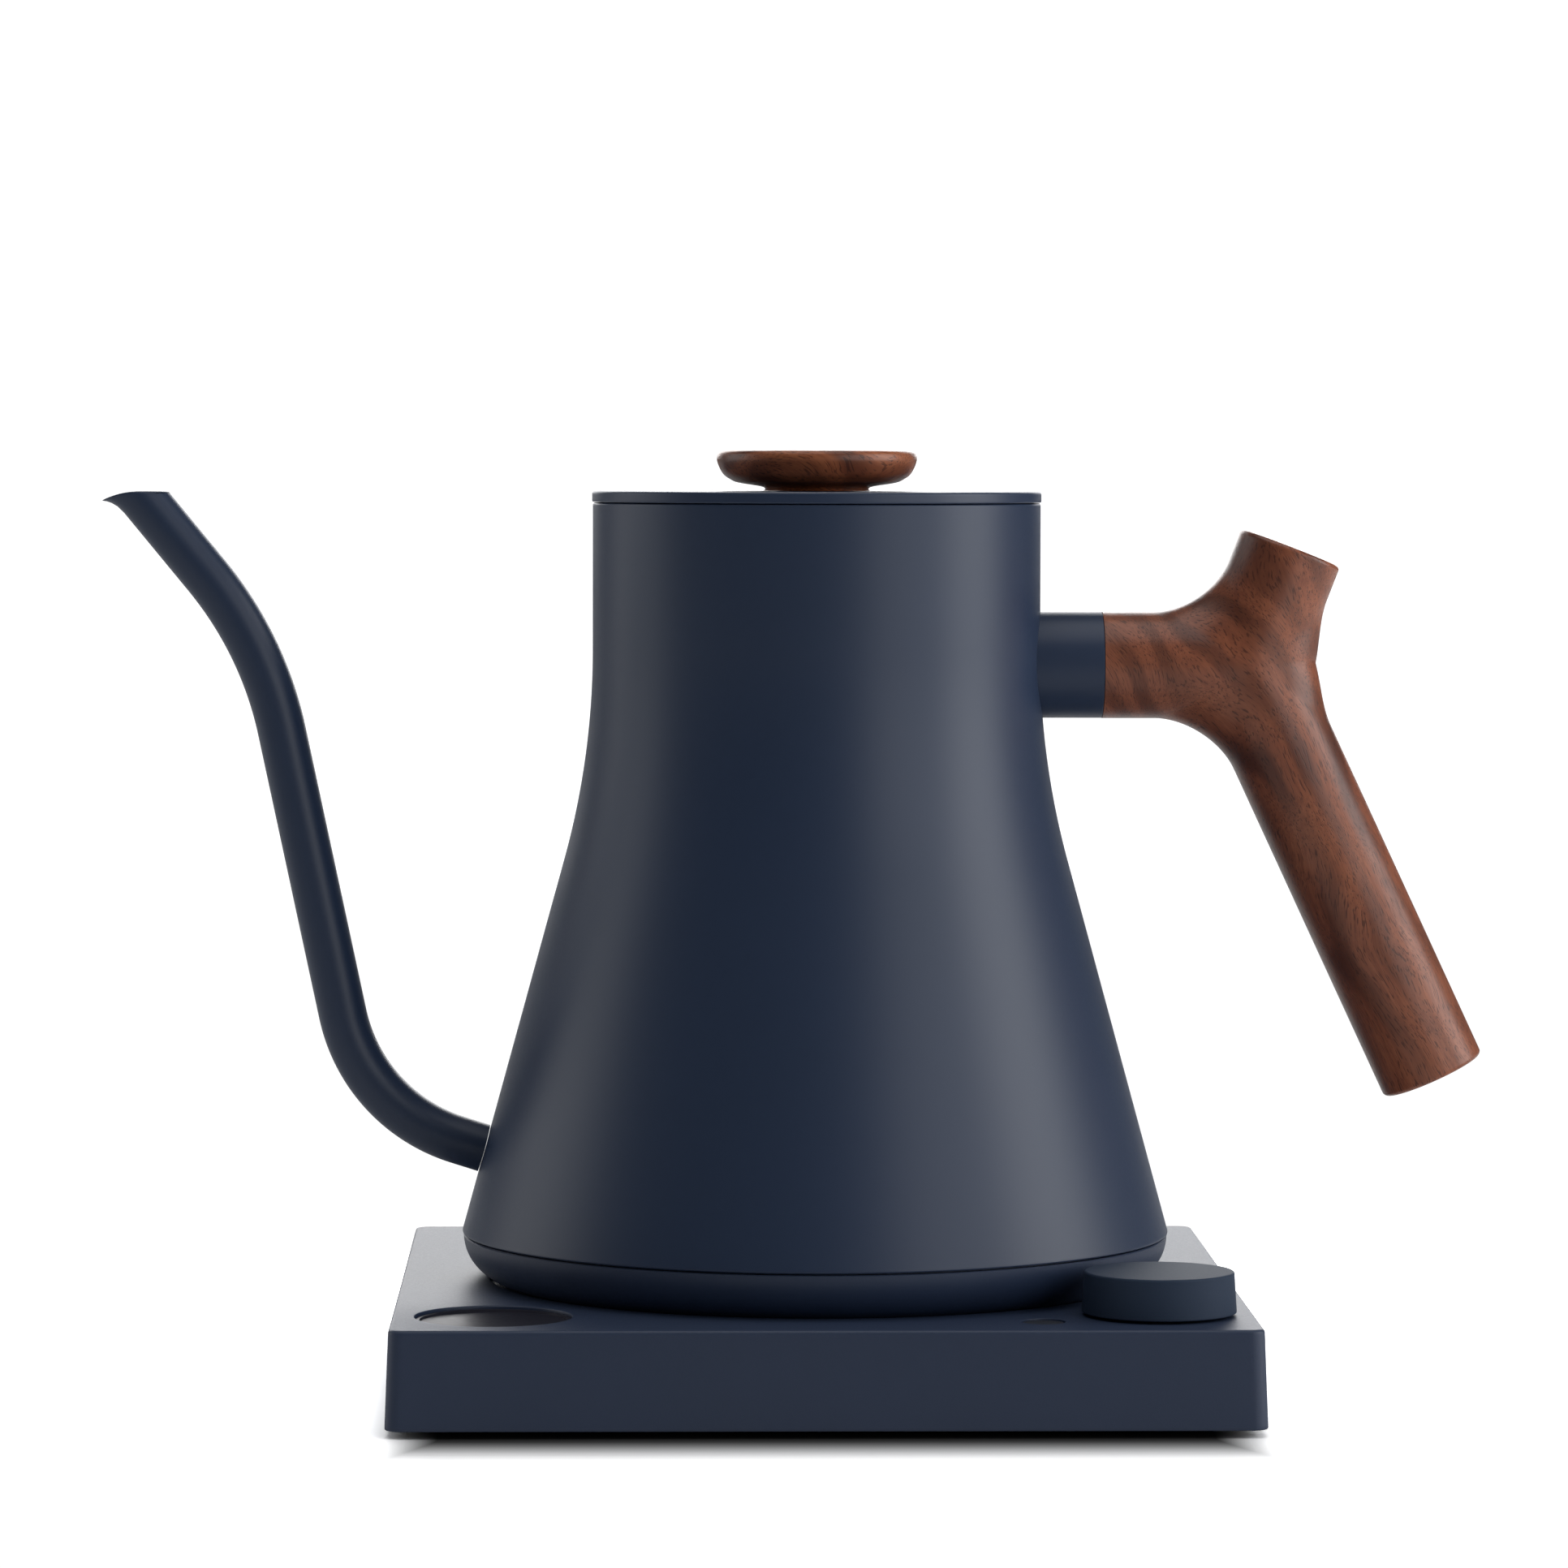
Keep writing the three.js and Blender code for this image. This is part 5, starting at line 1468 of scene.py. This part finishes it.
    def level(self, ring: np.ndarray, heading: Vector, drop: float, share: float) -> np.ndarray:
        """Slides a ring's points along the spout towards the level of the mouth."""
        slide = (self.mouth[1] - drop - ring[:, 2]) / heading.y * share
        made = ring.copy()
        made[:, 0] += heading.x * slide
        made[:, 2] += heading.y * slide
        return made

    def pour_lip(self, ring: np.ndarray) -> np.ndarray:
        """Draws the front of the mouth forwards and down into a pouring lip."""
        made = ring.copy()
        height = (ring[:, 2] - (self.mouth[1] - self.lip_height)) / self.lip_height
        forward = np.maximum(0, (self.mouth[0] - ring[:, 0]) / (1.3 * self.spout_r))
        weight = np.clip(height, 0, 1.2) * np.minimum(1, forward**2)
        made[:, 0] -= self.lip_reach * weight
        made[:, 2] -= self.lip_drop * weight
        return made

    def build_spout(self) -> None:
        """Builds the bent tube with its level, lipped mouth and its root on the shell."""
        sides = 56
        skip = 3  # rings at the root that the shell's curve takes the place of
        reach = 11.0  # length before the mouth over which the rings turn level
        line = self.spout_line()
        lengths = [0.0]
        for (a, _), (b, _) in zip(line, line[1:]):
            lengths.append(lengths[-1] + (b - a).length)
        total = lengths[-1]
        skin = Skin()
        loops: list[Loop] = []
        thick, outer_r = self.spout_wall, self.spout_r
        round_r = thick / 2
        rims = [(outer_r - round_r + round_r * math.cos(a), round_r * (1 - math.sin(a)))
                for a in np.linspace(0, math.pi, 9)]
        for wall_r, reverse in ((outer_r, False), (outer_r - thick, True)):
            rings = []
            for (at, heading), along in zip(line, lengths):
                ring = self.spout_ring(at, heading, wall_r, sides)
                gap = total - along
                if gap < reach:
                    ring = self.level(ring, heading, round_r + 0.02, 1 - gap / reach)
                rings.append(self.pour_lip(ring))
            root = self.onto_shell(rings[skip], line[0][1], -0.05)
            ids = [skin.loop(ring) for ring in (root, *rings[skip + 1 :])]
            if reverse:
                at, heading = line[-1]
                for r, drop in rims[1:-1]:
                    ring = self.spout_ring(at, heading, r, sides)
                    loops.append(skin.loop(self.pour_lip(self.level(ring, heading, drop, 1.0))))
                ids.reverse()
            loops += ids
        skin.chain(loops, ring=True)
        piece("spout_tube", skin.mesh("spout_tube", 55), POWDER, "kettle", ["spout"])

    def build_floor(self) -> None:
        """Builds the stainless vessel floor with its screw bosses and probe opening."""
        thick, flange_z = self.floor_thick, self.floor_flange_z
        lean = math.radians(self.cone)
        flange_r = self.radius_at(flange_z) - (self.wall + 0.3) / math.cos(lean)
        top_r = flange_r - math.tan(lean) * (self.floor_z - flange_z)
        under = self.floor_z - thick
        outline = eased(
            [
                (top_r - 4, under, 0), (top_r - thick, under, 1.2), (flange_r - thick, flange_z, 0),
                (flange_r, flange_z, 0), (top_r, self.floor_z, 2.0), (top_r - 4, self.floor_z, 0),
            ],
            steps=7,
        )
        skin = Skin()
        rings = skin.turn(outline, segments=160)
        hole_r, boss_r, boss_z, tap_r, tap_z = 4.2, 3.4, 27.3, self.tap_r, 36.0
        hole = skin.turn([(hole_r, under), (hole_r, self.floor_z)], about_z(0, self.probe_y), 32)
        boss = [(boss_r, under), (boss_r, boss_z), (tap_r, boss_z), (tap_r, tap_z), (0.0, tap_z)]
        lows = [skin.turn(boss, about_z(x, y), 32)[0] for x, y in self.screw_places()]
        skin.flat(rings[-1], hole[-1])
        skin.flat(rings[0], hole[0], *lows)
        piece("vessel_floor", skin.mesh("vessel_floor"), STAINLESS, "kettle", ["heater_plate"])

    def build_probe(self) -> None:
        """Builds the temperature probe and the silicone seal round it."""
        axis = about_z(0, self.probe_y)
        z0, z1 = (corner.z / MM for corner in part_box("temperature_probe"))
        r = self.probe_r
        rod = eased([(0, z0, 0), (r, z0, 0.2), (r, z1, 1.4), (0, z1, 0)], steps=8)
        turned("probe", rod, SCREW_STEEL, "kettle", "temperature_probe", axis, 40)
        z0, z1 = (corner.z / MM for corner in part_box("probe_seal"))
        lip, bore, neck, wide = self.floor_z + 0.05, r + 0.05, 3.9, 5.5
        corners = [(bore, z0, 0), (neck, z0, 0), (neck, lip, 0), (wide, lip, 0.2), (wide, z1, 0.6)]
        outline = eased([*corners, (bore, z1, 0.3)], steps=5, ring=True)
        turned("seal", outline, SILICONE, "kettle", "probe_seal", axis, 40, ring=True)

    def bowl_side(self, inset: float, steps: int) -> Profile:
        """Returns the bowl's rounded side from its flat to its upper edge."""
        depth = self.seam_z - self.bowl_z - inset
        spread = self.bowl_r - self.bowl_flat_r - inset
        power = 2 / self.bowl_power
        made = []
        for k in range(steps + 1):
            angle = k / steps * math.pi / 2
            r = self.bowl_flat_r + spread * math.sin(angle) ** power
            made.append((r, min(self.bowl_top_z, self.seam_z - depth * math.cos(angle) ** power)))
        return made

    def build_bowl(self) -> None:
        """Builds the bottom bowl with its upper tongue, screw posts and socket opening."""
        outer, inner = self.bowl_side(0, 40), self.bowl_side(self.bowl_wall, 24)
        base, top, tongue_r = self.bowl_z, self.bowl_top_z, self.bowl_r - 1.5
        tongue_z, floor = top + 3.4, base + self.bowl_wall
        skin = Skin()
        outline = [*outer[:-1], (self.bowl_r - 0.02, top - 0.25), (self.bowl_r - 0.25, top)]
        outline += [(tongue_r, top), (tongue_r, tongue_z), (tongue_r - 1.4, tongue_z)]
        outline += inner[::-1]
        rings = skin.turn(outline, segments=192)
        r = self.bowl_hole_r
        rim = eased([(r + 1, base, 0), (r, base, 0.4), (r, floor, 0.4), (r + 1, floor, 0)])
        hole = skin.turn(rim, segments=96)
        low, high = [rings[0], hole[0]], [rings[-1], hole[-1]]
        head_r, seat, post_r, post_z = 3.5, base + 2.3, 5.2, 27.0
        bore = [
            (head_r, base), (head_r, seat), (self.tap_r, seat), (self.tap_r, post_z),
            (post_r, post_z), (post_r, floor),
        ]
        for x, y in self.screw_places():
            loops = skin.turn(bore, about_z(x, y), 32)
            low.append(loops[0])
            high.append(loops[-1])
        skin.flat(*low)
        skin.flat(*high)
        piece("bottom_bowl", skin.mesh("bottom_bowl"), MOULDED, "kettle", ["bottom_cover"])


# ------------------------------------------------------------------ handle
@dataclass
class ForkedHandle:
    """Painted ferrule and the walnut grip whose three arms grow out of one hub."""

    vessel: Vessel
    r: float = 11.2
    z: float = 150.5
    ferrule_r: float = 11.15
    ferrule_bore_r: float = 9.3
    ferrule_end: float = 59.8
    hub_x: float = 90.2
    stub_angle: float = 21.0
    stub_length: float = 26.5
    grip_angle: float = 25.0
    grip_length: float = 95.5
    edge_r: float = 1.0
    crown: float = 0.6
    front_blend: float = 10.8
    back_blend: float = 4.9
    bore_r: float = 5.3
    bore_end: float = 78.6
    twist: float = 24.0
    sides: int = 96

    def build(self) -> None:
        """Builds and dresses the ferrule and the grip."""
        self.build_ferrule()
        self.build_grip()

    def build_ferrule(self) -> None:
        """Builds the ferrule, its root cut to the shell's curve."""
        root, end = 50.0, self.ferrule_end + 0.22
        outer, bore = self.ferrule_r, self.ferrule_bore_r
        outline = eased([(outer, root, 0), (outer, end, 0.12), (bore, end, 0.1), (bore, root, 0)])
        skin = Skin()
        loops = [skin.circle(r, h, about_x(self.z), self.sides) for r, h in outline]
        for loop in (loops[0], loops[-1]):
            for i in loop:
                _, y, z = skin.points[i]
                reach = self.vessel.radius_at(z) - 0.15
                skin.points[i] = (math.sqrt(reach**2 - y**2), y, z)
        skin.chain(loops, ring=True)
        piece("ferrule", skin.mesh("ferrule"), POWDER, "kettle", ["handle_ferrule"])

    def heading(self, angle: float) -> np.ndarray:
        """Returns the direction at an angle from +X towards +Z."""
        turn = math.radians(angle)
        return np.array([math.cos(turn), 0.0, math.sin(turn)])

    def arms(self) -> list[tuple[float, float]]:
        """Returns angle and length of the grip, the stub and the arm into the ferrule."""
        return [
            (self.grip_angle - 90, self.grip_length),
            (90 - self.stub_angle, self.stub_length),
            (180.0, self.hub_x - self.ferrule_end - 0.3),
        ]

    def blended(self, a: np.ndarray, b: np.ndarray, r: np.ndarray) -> np.ndarray:
        """Joins two distances with a rounded hollow of radius r between them."""
        near = np.maximum(r, np.minimum(a, b))
        return near - np.hypot(np.maximum(r - a, 0), np.maximum(r - b, 0))

    def distance(self, points: np.ndarray) -> np.ndarray:
        """Returns how far points lie outside the blended arms; less than 0 is inside."""
        far = []
        for angle, _ in self.arms():
            way = self.heading(angle)
            along = np.maximum(0, points @ way)
            far.append(np.linalg.norm(points - along[:, None] * way, axis=1) - self.r)
        fade = np.maximum(0, 1 - (points[:, 1] / self.r) ** 2)
        pairs = [
            self.blended(far[0], far[1], self.back_blend * fade),
            self.blended(far[1], far[2], self.front_blend * fade),
            self.blended(far[2], far[0], self.front_blend * fade),
        ]
        return np.minimum(np.minimum(pairs[0], pairs[1]), pairs[2])

    def ring(self, angle: float, before: float, after: float, along: float) -> np.ndarray:
        """Returns one ring of an arm; at the hub it lies half way to the next arms."""
        square = min(1.0, along / self.twist)
        square = square * square * (3 - 2 * square)
        origin = self.heading(angle) * along
        turn = np.linspace(0, 2 * math.pi, self.sides, endpoint=False)
        across = np.cos(turn)
        depth = np.stack([np.zeros_like(turn), np.sin(turn), np.zeros_like(turn)], axis=1)
        lean = np.where(across[:, None] >= 0, self.heading(after), self.heading(before))
        shared = lean * np.abs(across)[:, None] + depth
        own = self.heading(angle + 90) * across[:, None] + depth
        rays = shared * (1 - square) + own * square
        rays /= np.linalg.norm(rays, axis=1)[:, None]
        near, far = np.zeros(self.sides), np.full(self.sides, 4 * self.r)
        halvings = 36
        for _ in range(halvings):
            middle = (near + far) / 2
            inside = self.distance(origin + rays * middle[:, None]) < 0
            near, far = np.where(inside, middle, near), np.where(inside, far, middle)
        return origin + rays * ((near + far) / 2)[:, None]

    def stations(self, length: float) -> list[float]:
        """Returns where the rings of an arm lie: close together near the hub."""
        dense, wide = 30.0, 3.5
        near = list(np.arange(0, min(dense, length), 1.0))
        rest = length - near[-1]
        count = max(1, round(rest / wide))
        return near + [near[-1] + rest * (k + 1) / count for k in range(count)]

    def end_loops(self, skin: Skin, last: np.ndarray, angle: float, length: float) -> list[Loop]:
        """Adds the rounded edge and the slightly domed face that close an arm's free end."""
        way = self.heading(angle)
        middle = way * length
        loops = []
        for k in range(1, 8):
            turn = math.pi / 2 * k / 7
            scale = 1 - self.edge_r * (1 - math.cos(turn)) / self.r
            push = -self.edge_r * (1 - math.sin(turn))
            loops.append(skin.loop(middle + (last - middle) * scale + way * push))
        face = 1 - self.edge_r / self.r
        for share in (0.97, 0.85, 0.6, 0.3):
            push = self.crown * (1 - share**2)
            loops.append(skin.loop(middle + (last - middle) * face * share + way * push))
        loops.append(skin.loop([middle + way * self.crown]))
        return loops

    def build_grip(self) -> None:
        """Builds the grip: three arms of rings that meet on shared planes at the hub."""
        skin = Skin()
        arms = self.arms()
        for i, (angle, length) in enumerate(arms):
            after, before = arms[(i + 1) % 3][0], arms[i - 1][0]
            ahead, behind = (after - angle) % 360, (angle - before) % 360
            plain = i == 2
            free = length if plain else length - self.edge_r
            sides = (angle - behind / 2, angle + ahead / 2)
            rings = [self.ring(angle, *sides, along) for along in self.stations(free)]
            loops = [skin.loop(ring) for ring in rings]
            way = self.heading(angle)
            if plain:
                deep = self.hub_x - self.bore_end
                turn = np.linspace(0, 2 * math.pi, self.sides, endpoint=False)
                across = self.heading(angle + 90) * np.cos(turn)[:, None]
                circle = across + np.array([0.0, 1.0, 0.0]) * np.sin(turn)[:, None]
                loops.append(skin.loop(way * length + circle * self.bore_r))
                loops.append(skin.loop(way * deep + circle * self.bore_r))
                loops.append(skin.loop([way * deep]))
            else:
                flush = rings[-1] + way * self.edge_r
                loops += self.end_loops(skin, flush, angle, length)
            skin.chain(loops)
        skin.points = [(x + self.hub_x, y, z + self.z) for x, y, z in skin.points]
        piece("grip", skin.mesh("grip"), WALNUT, "kettle", ["handle_grip"])


# ------------------------------------------------------------------ lid
@dataclass
class Lid:
    """Painted plate, stainless liner, silicone gasket, walnut knob and its screw."""

    r: float = 47.15
    z: float = 184.62
    thick: float = 2.28
    edge_r: float = 0.5
    hole_r: float = 2.1
    liner_r: float = 44.6
    liner_z: float = 174.0
    liner_wall: float = 0.8
    gasket_r: float = 45.7
    gasket_z: tuple[float, float] = (181.6, 184.6)
    knob: tuple[tuple[float, float], ...] = (
        (11.2, 187.0), (10.9, 187.5), (12.0, 187.95), (16.6, 188.7), (18.4, 189.5), (19.6, 190.4),
        (20.4, 191.7), (20.9, 193.0), (21.0, 193.9), (20.8, 194.8), (20.2, 195.3), (19.0, 195.5),
    )

    def build(self) -> None:
        """Builds and dresses the lid."""
        top = self.z + self.thick
        corners = [(self.hole_r, self.z, 0), (self.r, self.z, 0.25), (self.r, top, self.edge_r)]
        plate = eased([*corners, (self.hole_r, top, 0)], ring=True)
        turned("lid_cap", plate, POWDER, "lid", "lid_plate", segments=192, ring=True)
        self.build_liner()
        self.build_gasket()
        self.build_knob()

    def build_liner(self) -> None:
        """Builds the pressed stainless liner under the plate."""
        top = self.z - 0.05
        inner = self.liner_r - self.liner_wall
        low, floor = self.liner_z, self.liner_z + self.liner_wall
        liner = eased(
            [
                (self.hole_r, low, 0), (self.liner_r, low, 1.5), (self.liner_r, top, 0),
                (inner, top, 0), (inner, floor, 0.8), (self.hole_r, floor, 0),
            ],
            steps=8,
            ring=True,
        )
        turned("lid_pan", liner, STAINLESS, "lid", "lid_liner", segments=160, ring=True)

    def build_gasket(self) -> None:
        """Builds the silicone gasket with two rounded ribs."""
        low, high = self.gasket_z
        inner, steps, web = self.liner_r + 0.05, 24, 0.35
        outline = [(inner, low)]
        for k in range(steps + 1):
            share = k / steps
            out = web + (1 - web) * abs(math.sin(share * 2 * math.pi))
            outline.append((inner + (self.gasket_r - inner) * out, low + (high - low) * share))
        outline.append((inner, high))
        turned("gasket_ring", outline, DARK_SILICONE, "lid", "lid_gasket", segments=128, ring=True)

    def build_knob(self) -> None:
        """Builds the turned knob and the screw that holds it."""
        outline = smooth_through(list(self.knob), 5)
        bore, depth, top = 2.3, 191.8, self.knob[-1][1]
        inside = [(0.0, depth), (bore, depth), (bore, self.knob[0][1])]
        crown = [(17.5, top), (9.0, top), (0.0, top)]
        turned("knob", [*inside, *outline, *crown], WALNUT_KNOB_PAINTED_LIGHTER, "lid", "lid_knob", segments=128)
        low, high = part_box("lid_knob_screw")
        screw = socket_screw(4.0, 1.4, 2.0, (high.z - low.z) / MM)
        screw.points = [(x, y, z + low.z / MM) for x, y, z in screw.points]
        piece("knob_screw", screw.mesh("knob_screw"), SCREW_STEEL, "lid", ["lid_knob_screw"])


# ------------------------------------------------------------------ inner parts
@dataclass
class InnerParts:
    """What the case and the bowl hide: wires and element as fine rods, the rest as packed."""

    wire_r: float = 1.1
    wire_z: float = 11.0
    element_r: float = 40.0
    element_tube_r: float = 3.3
    element_z: float = 33.3
    element_gap: float = 60.0
    carried: tuple[tuple[str, Finish], ...] = (
        ("display_module", COMPONENT), ("display_carrier", NYLON), ("status_led", SILICONE),
        ("encoder_housing", COMPONENT), ("encoder_rotor", SCREW_STEEL), ("dial_shaft", SCREW_STEEL),
        ("control_board", BOARD), ("power_board", BOARD), ("link_cable", SILICONE),
        ("transformer", COMPONENT), ("relay", COMPONENT), ("terminal_block", NYLON),
        ("capacitor", ALUMINIUM), ("hold_switch_body", COMPONENT), ("heat_spreader", ALUMINIUM),
        ("thermal_cutout", COMPONENT), ("handle_stud", STAINLESS), ("ferrule_core", NYLON),
        ("handle_insert", BRASS),
    )

    def build(self, repeater: Repeater) -> None:
        """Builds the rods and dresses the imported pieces."""
        z = self.wire_z
        live = [(30, 48.7, z), (28, 38, z), (18, 20, z), (12, 8, z)]
        repeater.run("mains_live_wire", live, self.wire_r, 16, LIVE, "base")
        for x, name, finish in ((-4.5, "neutral", NEUTRAL), (4.5, "earth", EARTH)):
            line = [(x, y, z) for y in (65.7, 40, 13)]
            repeater.run(f"mains_{name}_wire", line, self.wire_r, 16, finish, "base")
        lead = [(-35.5, 18.4, 33.3), (-30, 15.8, 31), (-22, 13.5, 28), (-15.2, 10.9, 27)]
        for side, name, finish in ((1, "live", LIVE), (-1, "neutral", NEUTRAL)):
            line = [(x, side * y, h) for x, y, h in lead]
            repeater.run(f"element_{name}_wire", line, self.wire_r, 16, finish, "kettle")
        coil = []
        r, steps = self.element_r, 36
        first = 180 + self.element_gap / 2
        for k in range(steps + 1):
            angle = math.radians(first + (360 - self.element_gap) * k / steps)
            coil.append((r * math.cos(angle), r * math.sin(angle), self.element_z))
        repeater.run("heating_element", coil, self.element_tube_r, 24, SCREW_STEEL, "kettle")
        for name, finish in self.carried:
            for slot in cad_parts[name].material_slots:
                slot.material = finish.material()
            LOG.info("%s: as packed, %s", name, finish.name)


# ------------------------------------------------------------------ studio
@dataclass(frozen=True)
class SoftBox:
    """One soft box that faces the kettle's middle.

    Attributes:
        name: Its name.
        azimuth: Where it stands, in degrees to the right of the camera.
        height: Height of its middle, in millimetres.
        distance: How far it is from the kettle's axis, in millimetres.
        width: Width of its face, in millimetres.
        tall: Height of its face, in millimetres.
        watts: Its power.
    """

    name: str
    azimuth: float
    height: float
    distance: float
    width: float
    tall: float
    watts: float

    def add(self, target: Vector) -> None:
        """Adds the lamp, turned to the target and unseen by the camera."""
        data = bpy.data.lights.new(self.name, "AREA")
        data.shape = "RECTANGLE"
        data.size, data.size_y = self.width * MM, self.tall * MM
        data.energy = self.watts
        made = placed(self.name, data)
        turn, far = math.radians(self.azimuth), self.distance
        made.location = Vector((math.sin(turn) * far, -math.cos(turn) * far, self.height)) * MM
        made.rotation_euler = (target - made.location).to_track_quat("-Z", "Y").to_euler()
        made.visible_camera = False


@dataclass
class Studio:
    """White sweep, soft boxes and the camera.

    Attributes:
        eye: Where the camera is, in millimetres from the kettle's axis.
        yaw: How far it turns right of +Y, in degrees.
        roll: How far it turns about its line of sight, in degrees.
        pitch: How far it looks up, in degrees.
        lens: Focal length, in millimetres.
        sensor: Width of the sensor, in millimetres.
        target: What the soft boxes face, in metres.
        exposure: How much lighter than white the camera takes the floor.
        base_half: Half the width of the painted shade under the base on the floor, in millimetres.
        boxes: The soft boxes.
    """

    eye: tuple[float, float, float] = (-39.7, -1356.0, 194.7)
    yaw: float = 1.392
    roll: float = 0.12
    pitch: float = -2.927
    lens: float = 148.2
    sensor: float = 36.0
    target: tuple[float, float, float] = (0.0, 0.0, 0.11)
    exposure: float = 3.4
    base_half: float = 87.7
    boxes: tuple[SoftBox, ...] = (
        SoftBox("key_right", 82.0, 260.0, 1300.0, 800.0, 1500.0, 13.0),
        SoftBox("fill_right", 40.0, 260.0, 1500.0, 800.0, 1500.0, 6.4),
        SoftBox("edge_left", -106.0, 300.0, 1400.0, 1000.0, 1300.0, 5.0),
        SoftBox("sky", 0.0, 1700.0, 200.0, 1800.0, 1600.0, 11.0),
        SoftBox("backdrop", 180.0, 560.0, 1500.0, 1500.0, 700.0, 15.0),
    )

    def build(self) -> None:
        """Builds the set."""
        self.set_camera()
        for box in self.boxes:
            box.add(Vector(self.target))
        self.set_world()
        self.add_floor()
        settings = bpy.context.scene.view_settings
        settings.view_transform = "Standard"
        settings.look = "None"

    def set_camera(self) -> None:
        """Places the camera without any shift."""
        data = bpy.data.cameras.new("camera")
        data.lens = self.lens
        data.sensor_width = self.sensor
        data.clip_end = 20.0
        made = placed("camera", data)
        made.location = (self.eye[0] * MM + AXIS_X, self.eye[1] * MM, self.eye[2] * MM)
        facing = Euler((math.radians(90 + self.pitch), 0.0, -math.radians(self.yaw))).to_matrix()
        tilt = Matrix.Rotation(math.radians(self.roll), 3, "Z")
        made.rotation_euler = (facing @ tilt).to_euler()
        bpy.context.scene.camera = made

    def set_world(self) -> None:
        """Makes the room: white where it is seen directly, dim grey as light."""
        world = bpy.data.worlds.new("room")
        bpy.context.scene.world = world
        world.use_nodes = True
        tree = world.node_tree
        tree.nodes.clear()
        dim = self.shade(tree, "ShaderNodeBackground", "#d8dce2", Strength=0.1)
        white = self.shade(tree, "ShaderNodeBackground", "#ffffff", Strength=1.15)
        node(tree, "ShaderNodeOutputWorld", {"Surface": self.seen_as(tree, dim, white)})

    def shade(self, tree: NodeTree, kind: str, colour: str, **inputs: float) -> NodeSocket:
        """Adds a plain shader of one colour."""
        return node(tree, kind, {"Color": linear(colour), **inputs}).outputs[0]

    def seen_as(self, tree: NodeTree, light: NodeSocket, view: NodeSocket) -> NodeSocket:
        """Joins a shader that only gives light with one that only the camera sees."""
        seen = node(tree, "ShaderNodeLightPath").outputs["Is Camera Ray"]
        return node(tree, "ShaderNodeMixShader", {0: seen, 1: light, 2: view}).outputs[0]

    def add_floor(self) -> None:
        """Adds a wide matt white floor, overexposed for the camera, with a painted shade under,
        before and behind the base.
        """
        sunk, inner, outer = -0.02, 500.0, 1500.0
        skin = Skin()
        skin.turn([(0.0, sunk), (inner, sunk), (outer, sunk)], segments=64)
        mesh = skin.mesh("floor")
        if mesh.polygons[0].normal.z < 0:
            mesh.flip_normals()
        material = empty_material("Matt white paper")
        tree = material.node_tree
        # Far out the paper runs into plain white.
        place = object_spot(tree)
        # The paper's colour carries a painted shade under and round the base, not one cast by the
        # lamps.
        painted_shade_gain = self.floor_gain_with_painted_shade(tree, place)
        lit = node(tree, "ShaderNodeBsdfDiffuse", {"Color": painted_shade_gain}).outputs[0]
        far = ramp(tree, vector_calc(tree, "LENGTH", place), 0.15, 0.26, 0.0, 1.0, "SMOOTHSTEP")
        white = self.shade(tree, "ShaderNodeEmission", "#ffffff", Strength=1.05)
        shown = node(tree, "ShaderNodeMixShader", {0: far, 1: lit, 2: white}).outputs[0]
        paper = self.shade(tree, "ShaderNodeBsdfDiffuse", "#e6e6e6")
        surface = self.seen_as(tree, paper, shown)
        node(tree, "ShaderNodeOutputMaterial", {"Surface": surface})
        mesh.materials.append(material)
        placed("floor", mesh)

    def floor_gain_with_painted_shade(self, tree: NodeTree, place: NodeSocket) -> NodeSocket:
        """Returns the paper's colour for the camera, with a painted shade drawn into it.

        The paper is overexposed. Its colour is darkened by position into a painted shade under the
        base and over 50 mm before and behind it; beside the base there is none, and the paper stays
        overexposed.
        """
        parts = node(tree, "ShaderNodeSeparateXYZ", {0: place}).outputs
        half = self.base_half * MM
        ahead = calc(tree, "ABSOLUTE", parts[1])
        # Painted shade: the colour falls to 0.04 under the base and climbs back over 50 mm before
        # and behind it.
        near = ramp(tree, ahead, half, half + 0.05, 0.04, self.exposure, "SMOOTHSTEP")
        aside = calc(tree, "ABSOLUTE", calc(tree, "SUBTRACT", parts[0], AXIS_X))
        # Beside the base the painted shade ends, and the paper is overexposed again.
        beside = ramp(tree, aside, half - 0.012, half + 0.01, 0.0, self.exposure, "SMOOTHSTEP")
        return calc(tree, "MAXIMUM", near, beside)


def main() -> None:
    """Builds the set and every sub-assembly in order."""
    logging.basicConfig(level=logging.INFO, format="%(name)s %(message)s")
    Studio().build()
    repeater = Repeater()
    vessel = Vessel()
    base = HeatingBase()
    base.build(repeater)
    Controls(base).build()
    Coupling().build()
    vessel.build(repeater)
    ForkedHandle(vessel).build()
    Lid().build()
    InnerParts().build(repeater)


if __name__ == "__main__":
    main()
